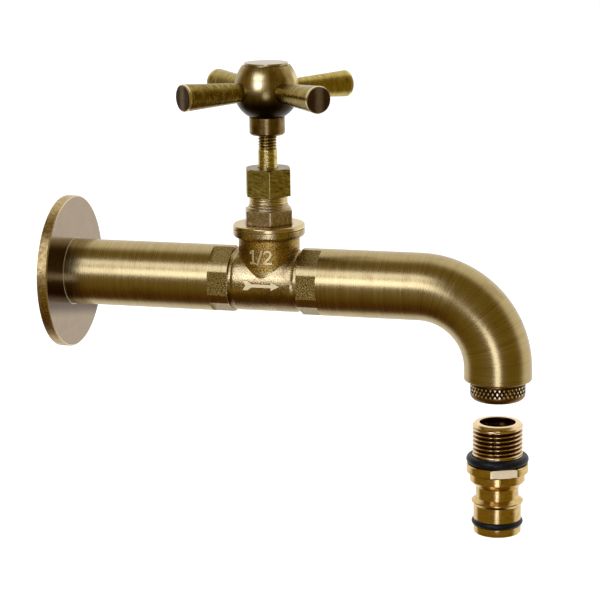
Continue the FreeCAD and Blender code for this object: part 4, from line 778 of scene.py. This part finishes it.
for arm, (painted_light, under_shade) in enumerate(zip(ARM_PAINTED_LIGHT, UNDER_PAINTED_SHADE), 1):
    arm_brass, shader, place = new_finish(f"brushed arm {arm}")
    height = place.axis("Z") - BALL_MIDDLE
    outwards = from_valve_line(place)
    lines = hairlines(place, outwards, height, 3.2, 0.35)
    clouds = place.grain(0.5, 4.0, 0.65)
    # Painted light: each arm's own level of light is added to its brush lines.
    metal = ((lines - 0.5) * 2.6 + (clouds - 0.5) * 0.8 + painted_light).mix(ARM_DARK, ARM_LIGHT)
    end = clouds.mix(END_DARK, END_LIGHT)
    on_end = outwards.rise(ARM_REACH - 0.12, ARM_REACH - 0.02)
    # Painted highlight on the rounded edge of the end face.
    on_rim_glint = outwards.between(ARM_REACH - ARM_ROUNDING - 0.6, ARM_REACH - 0.05, 0.15)
    # Dark joint where the arm enters the ball, with painted shade fading out along the arm.
    at_seam = 1 - outwards.rise(ARM_SEAT + 0.2, ARM_SEAT + 1.6)
    # Painted shade: the underside darkens towards ARM_DARK, to each arm's own depth.
    low = 1 - height.rise(*ARM_UNDERSIDE)
    metal = (low * under_shade).mix(metal, ARM_DARK)
    colour = (on_rim_glint * (0.5 + clouds * 0.6)).mix(on_end.mix(metal, end), RIM_GLINT)
    fill(
        shader,
        {
            "Base Color": (at_seam * 0.85).mix(colour, SEAM_AND_SHADE),
            "Metallic": 1.0,
            "Roughness": 0.25 + (lines - 0.5) * 0.3 + on_end * 0.3,
            "Normal": raised(lines + clouds * 0.5, 0.04),
        },
    )
    dress(f"handle_arm_{arm}", arm_brass)

# ---------------------------------------------------------------- handle nut and cap
# A plain nut locks the handle on the spindle. The cap is a thin brass disc on a plug that is
# pressed into the recess over it; its top is pale.
CAP_LIGHT = (0.62, 0.55, 0.42, 1.0)
CAP_DARK = (0.46, 0.39, 0.27, 1.0)
CAP_EDGE = 8.6
CAP_SIDE = (0.50, 0.38, 0.18, 1.0)

dress("handle_nut", turned_brass)
cap_brass, shader, place = new_finish("pale cap")
lines = hairlines(place, place.axis("X"), place.axis("Y"), 1.8)
rim = from_valve_line(place).rise(CAP_EDGE, CAP_EDGE + 0.3)
fill(
    shader,
    {
        "Base Color": rim.mix(lines.mix(CAP_DARK, CAP_LIGHT), CAP_SIDE),
        "Metallic": 1.0,
        "Roughness": 0.30 + (lines - 0.5) * 0.2,
        "Normal": raised(lines, 0.01),
    },
)
dress("handle_cap", cap_brass)

# ---------------------------------------------------------------- spout
# Brass tube bent through a quarter turn and brushed across its run, so that the hairlines stay
# square to it round the bend. Brazed over the body's other spigot.
BEND_RADIUS = 32.79
BEND_X = 156.38
BEND_Z = -BEND_RADIUS

spout_brass, shader, place = new_finish("brushed spout")
past_bend = (place.axis("X") - BEND_X).maths("MAXIMUM", 0.0)
over_bend = (place.axis("Z") - BEND_Z).maths("MAXIMUM", 0.0001)
bend = past_bend.maths("ARCTAN2", over_bend)
straight = place.axis("X").maths("MINIMUM", BEND_X)
below = (BEND_Z - place.axis("Z")).maths("MAXIMUM", 0.0)
run = straight + bend * BEND_RADIUS + below
lines = hairlines(place, run, place.axis("Y"))
fill(
    shader,
    {
        "Base Color": brushed_colour(place, lines, TUBE_LIGHT, TUBE_DARK, TUBE_PATINA),
        "Metallic": 1.0,
        "Roughness": 0.27 + (lines - 0.5) * 0.16,
        "Normal": raised(lines, 0.012),
    },
)
dress("spout", spout_brass)

# ---------------------------------------------------------------- outlet bush and strainer
# Inside the mouth sits a threaded bush. The strainer screws into it: a knurled brass ring, with
# painted shade in the cuts between its studs and a painted highlight on their tips, with a rubber
# washer, a plastic cartridge and a steel screen inside.
MOUTH_X = BEND_X + BEND_RADIUS
KNURL_TOP = -39.4
KNURL_FOOT = -43.1
KNURL_RADIUS = 11.39
KNURL_COUNT = 38
KNURL_ANGLE = math.radians(32.0)
STUD_HIGHLIGHT = (0.98, 0.86, 0.58, 1.0)
CUT_SHADE = (0.12, 0.055, 0.015, 1.0)
FOOT_LIGHT = (0.34, 0.19, 0.06, 1.0)
FOOT_DARK = (0.14, 0.065, 0.015, 1.0)
STEEL = (0.62, 0.62, 0.62, 1.0)
STEEL_DARK = (0.40, 0.40, 0.40, 1.0)


def from_mouth_line(place):
    """The place seen from the mouth's upright centre line, with its height left out."""
    return place.vector("SUBTRACT", (MOUTH_X, 0.0, 0.0)).vector("MULTIPLY", (1.0, 1.0, 0.0))


def between_cuts(cuts):
    """0 in each cut of the knurl and 1 midway between two, at a place counted in cuts."""
    return 0.5 - (cuts * (2 * math.pi)).maths("COSINE") * 0.5


dress("outlet_bush", turned_brass)
dress("strainer_seal", rubber_finish("strainer rubber"))
knurl_brass, shader, place = new_finish("knurled brass")
flat = from_mouth_line(place)
on_knurl = place.axis("Z").between(KNURL_FOOT, KNURL_TOP, 0.05)
clouds = place.grain(0.9, 4.0, 0.65)
cuts_per_mm = KNURL_COUNT / (2 * math.pi * KNURL_RADIUS)
round_it = flat.axis("Y").maths("ARCTAN2", flat.axis("X")) * (KNURL_COUNT / (2 * math.pi))
up_it = (place.axis("Z") - (KNURL_TOP + KNURL_FOOT) / 2) * (cuts_per_mm * math.tan(KNURL_ANGLE))
# Painted shade in the cuts and a painted highlight on the studs' tips.
tip = (between_cuts(round_it + up_it) * between_cuts(round_it - up_it)).rise(0.25, 0.75)
tip = tip * flat.length().rise(KNURL_RADIUS - 0.2, KNURL_RADIUS - 0.02)
studs = tip.mix(CUT_SHADE, STUD_HIGHLIGHT)
fill(
    shader,
    {
        "Base Color": on_knurl.mix(clouds.mix(FOOT_DARK, FOOT_LIGHT), studs),
        "Metallic": 1.0,
        "Roughness": 0.26 + clouds * 0.15,
        "Normal": raised(clouds, 0.01),
    },
)
dress("strainer_housing", knurl_brass)
dress("strainer_cartridge", white_plastic)
screen_steel, shader, place = new_finish("screen steel")
clouds = place.grain(1.5, 3.0)
fill(
    shader,
    {
        "Base Color": clouds.mix(STEEL_DARK, STEEL),
        "Metallic": 1.0,
        "Roughness": 0.25 + clouds * 0.15,
        "Normal": raised(clouds, 0.01),
    },
)
dress("strainer_screen", screen_steel)

# ---------------------------------------------------------------- hose adaptor
# Polished brass fitting, shown taken off: the pipe thread that goes into the mouth, a collar with
# two milled flats for a spanner, a step, the groove that a hose socket catches in, and the nose.
ADAPTOR_TOP = -55.8
PIPE_PITCH = 1.8143
PIPE_DEPTH = 1.162
PIPE_RADIUS = 10.4775
PIPE_ROWS = 20
THREAD_LEAD = 1.0
THREAD_FOOT = -69.50
SEAT_RADIUS = 9.2
COLLAR_TOP = -73.30
COLLAR_FOOT = -77.0
COLLAR_RADIUS = 12.83
STEP_RADIUS = 11.39
STEP_FOOT = -80.5
GROOVE_RADIUS = 8.9
GROOVE_TOP = -83.15
GROOVE_FOOT = -87.75
LIP_RADIUS = 10.75
LIP_SLOPE = 1.395
LIP_EDGE = 0.465
NOSE_TOP = -90.85
ADAPTOR_NOSE = 9.89
NOSE_ROUNDING = ((0.0, 1.0), (0.13, 0.5), (0.5, 0.13), (1.0, 0.0))
RING_MIDDLE = -98.35
RING_HALF = 1.4
RING_GROOVE = 7.94
NOSE_FOOT = -103.25
BORE_RADIUS = 5.5
MOUTH_BORE = 7.5
MOUTH_DEPTH = 3.0
FLATS_HALF = 11.55
FLATS_ANGLE = math.radians(25.0)
SMALL_BEVEL = 0.35
ADAPTOR_SIDES = 144
POLISHED = (0.88, 0.66, 0.30, 1.0)
POLISHED_DARK = (0.46, 0.27, 0.07, 1.0)
THREAD_LIGHT = (0.88, 0.66, 0.36, 1.0)
THREAD_DARK = (0.13, 0.055, 0.012, 1.0)
FLAT_REFLECTED_PALE = (1.0, 0.86, 0.52, 1.0)
FLAT_REFLECTED_PINK = (1.0, 0.70, 0.45, 1.0)


def milled(radius):
    """The collar's radius at a share of a turn, cut back by the two spanner flats."""

    def reach(turn):
        across = abs(math.sin(2 * math.pi * turn - FLATS_ANGLE))
        return min(radius, FLATS_HALF / max(across, 0.001))

    return reach


adaptor_brass, shader, place = new_finish("polished adaptor")
height = place.axis("Z")
streaks = place.joined(place.axis("X") * 0.2, place.axis("Y") * 0.2, height * 5)
turning = streaks.grain(1.0, 2.0, 0.6)
clouds = place.grain(0.5, 3.0, 0.6)
polish = (turning * 1.2 + clouds * 0.8 - 0.5).mix(POLISHED_DARK, POLISHED)
on_thread = height.rise(THREAD_FOOT - 0.2, THREAD_FOOT + 0.2)
flat = from_mouth_line(place)
# Painted shade: the thread's roots go dark between its crests.
crest = flat.length().rise(PIPE_RADIUS - PIPE_DEPTH * 0.75, PIPE_RADIUS - 0.1)
on_mouth = height.rise(ADAPTOR_TOP - THREAD_LEAD * 0.8, ADAPTOR_TOP - THREAD_LEAD * 0.6)
thread = crest.maths("MAXIMUM", on_mouth).mix(THREAD_DARK, THREAD_LIGHT)
# Painted reflection: the milled flats get a pale, mostly non-metal colour with pink marks, standing
# in for the bright reflection they show.
over_flat = flat.axis("X") * -math.sin(FLATS_ANGLE) + flat.axis("Y") * math.cos(FLATS_ANGLE)
on_flat = over_flat.maths("ABSOLUTE").between(FLATS_HALF - 0.05, FLATS_HALF + 0.05, 0.02)
on_flat = on_flat * height.between(COLLAR_FOOT + 0.1, COLLAR_TOP - 0.05, 0.05)
mill = place.joined(flat.axis("X") * 2, height * 2, 0.0).grain(1.0, 3.0, 0.7)
flat_reflection = ((mill - 0.5) * 3 + 0.6).mix(FLAT_REFLECTED_PINK, FLAT_REFLECTED_PALE)
# Patina and painted shade in corners and grooves.
patina_and_shade = recess(place, 1.5).rise(0.1, 0.5) * 0.7
colour = patina_and_shade.mix(on_thread.mix(polish, thread), THREAD_DARK)
fill(
    shader,
    {
        "Base Color": on_flat.mix(colour, flat_reflection),
        "Metallic": 1 - on_flat * 0.75,
        "Roughness": 0.14 + turning * 0.12 + on_flat * 0.3,
        "Normal": raised(turning + on_flat * mill, 0.008),
    },
)
rows = [(ADAPTOR_TOP - MOUTH_DEPTH, BORE_RADIUS), (NOSE_FOOT, BORE_RADIUS)]
rows += [(NOSE_FOOT + up_by, ADAPTOR_NOSE - in_by) for up_by, in_by in NOSE_ROUNDING]
rows += [
    (RING_MIDDLE - RING_HALF, ADAPTOR_NOSE),
    (RING_MIDDLE - RING_HALF, RING_GROOVE),
    (RING_MIDDLE + RING_HALF, RING_GROOVE),
    (RING_MIDDLE + RING_HALF, ADAPTOR_NOSE),
    (NOSE_TOP, ADAPTOR_NOSE),
    (GROOVE_FOOT - LIP_SLOPE - LIP_EDGE, LIP_RADIUS),
    (GROOVE_FOOT - LIP_SLOPE, LIP_RADIUS),
    (GROOVE_FOOT, GROOVE_RADIUS),
    (GROOVE_TOP, GROOVE_RADIUS),
    (STEP_FOOT, STEP_RADIUS),
    (COLLAR_FOOT - SMALL_BEVEL, STEP_RADIUS),
    (COLLAR_FOOT, milled(STEP_RADIUS + SMALL_BEVEL)),
    (COLLAR_FOOT + SMALL_BEVEL, milled(COLLAR_RADIUS)),
    (COLLAR_TOP - SMALL_BEVEL, milled(COLLAR_RADIUS)),
    (COLLAR_TOP, milled(COLLAR_RADIUS - SMALL_BEVEL)),
    (COLLAR_TOP, SEAT_RADIUS),
    (THREAD_FOOT - SMALL_BEVEL, SEAT_RADIUS),
]
thread_top = ADAPTOR_TOP - THREAD_LEAD
rows += threaded_rows(
    THREAD_FOOT, thread_top, PIPE_PITCH, PIPE_DEPTH, PIPE_RADIUS - CREST_INSET, PIPE_ROWS
)
rows += [
    (ADAPTOR_TOP - THREAD_LEAD * 0.7, PIPE_RADIUS - SMALL_BEVEL),
    (ADAPTOR_TOP, PIPE_RADIUS - THREAD_LEAD),
    (ADAPTOR_TOP, MOUTH_BORE),
    (ADAPTOR_TOP - MOUTH_DEPTH, MOUTH_BORE),
]
adaptor_mesh = turned_mesh("adaptor_turned", rows, ADAPTOR_SIDES, bored_through=True)
adaptor = stand("adaptor_turned", adaptor_mesh, MOUTH_X, adaptor_brass, sharp=30.0)
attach(adaptor, "adaptor")
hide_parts("hose_adaptor")
dress("adaptor_seal_ring", rubber_finish("seal ring rubber"))
dress("adaptor_nose_ring", rubber_finish("nose ring rubber"))
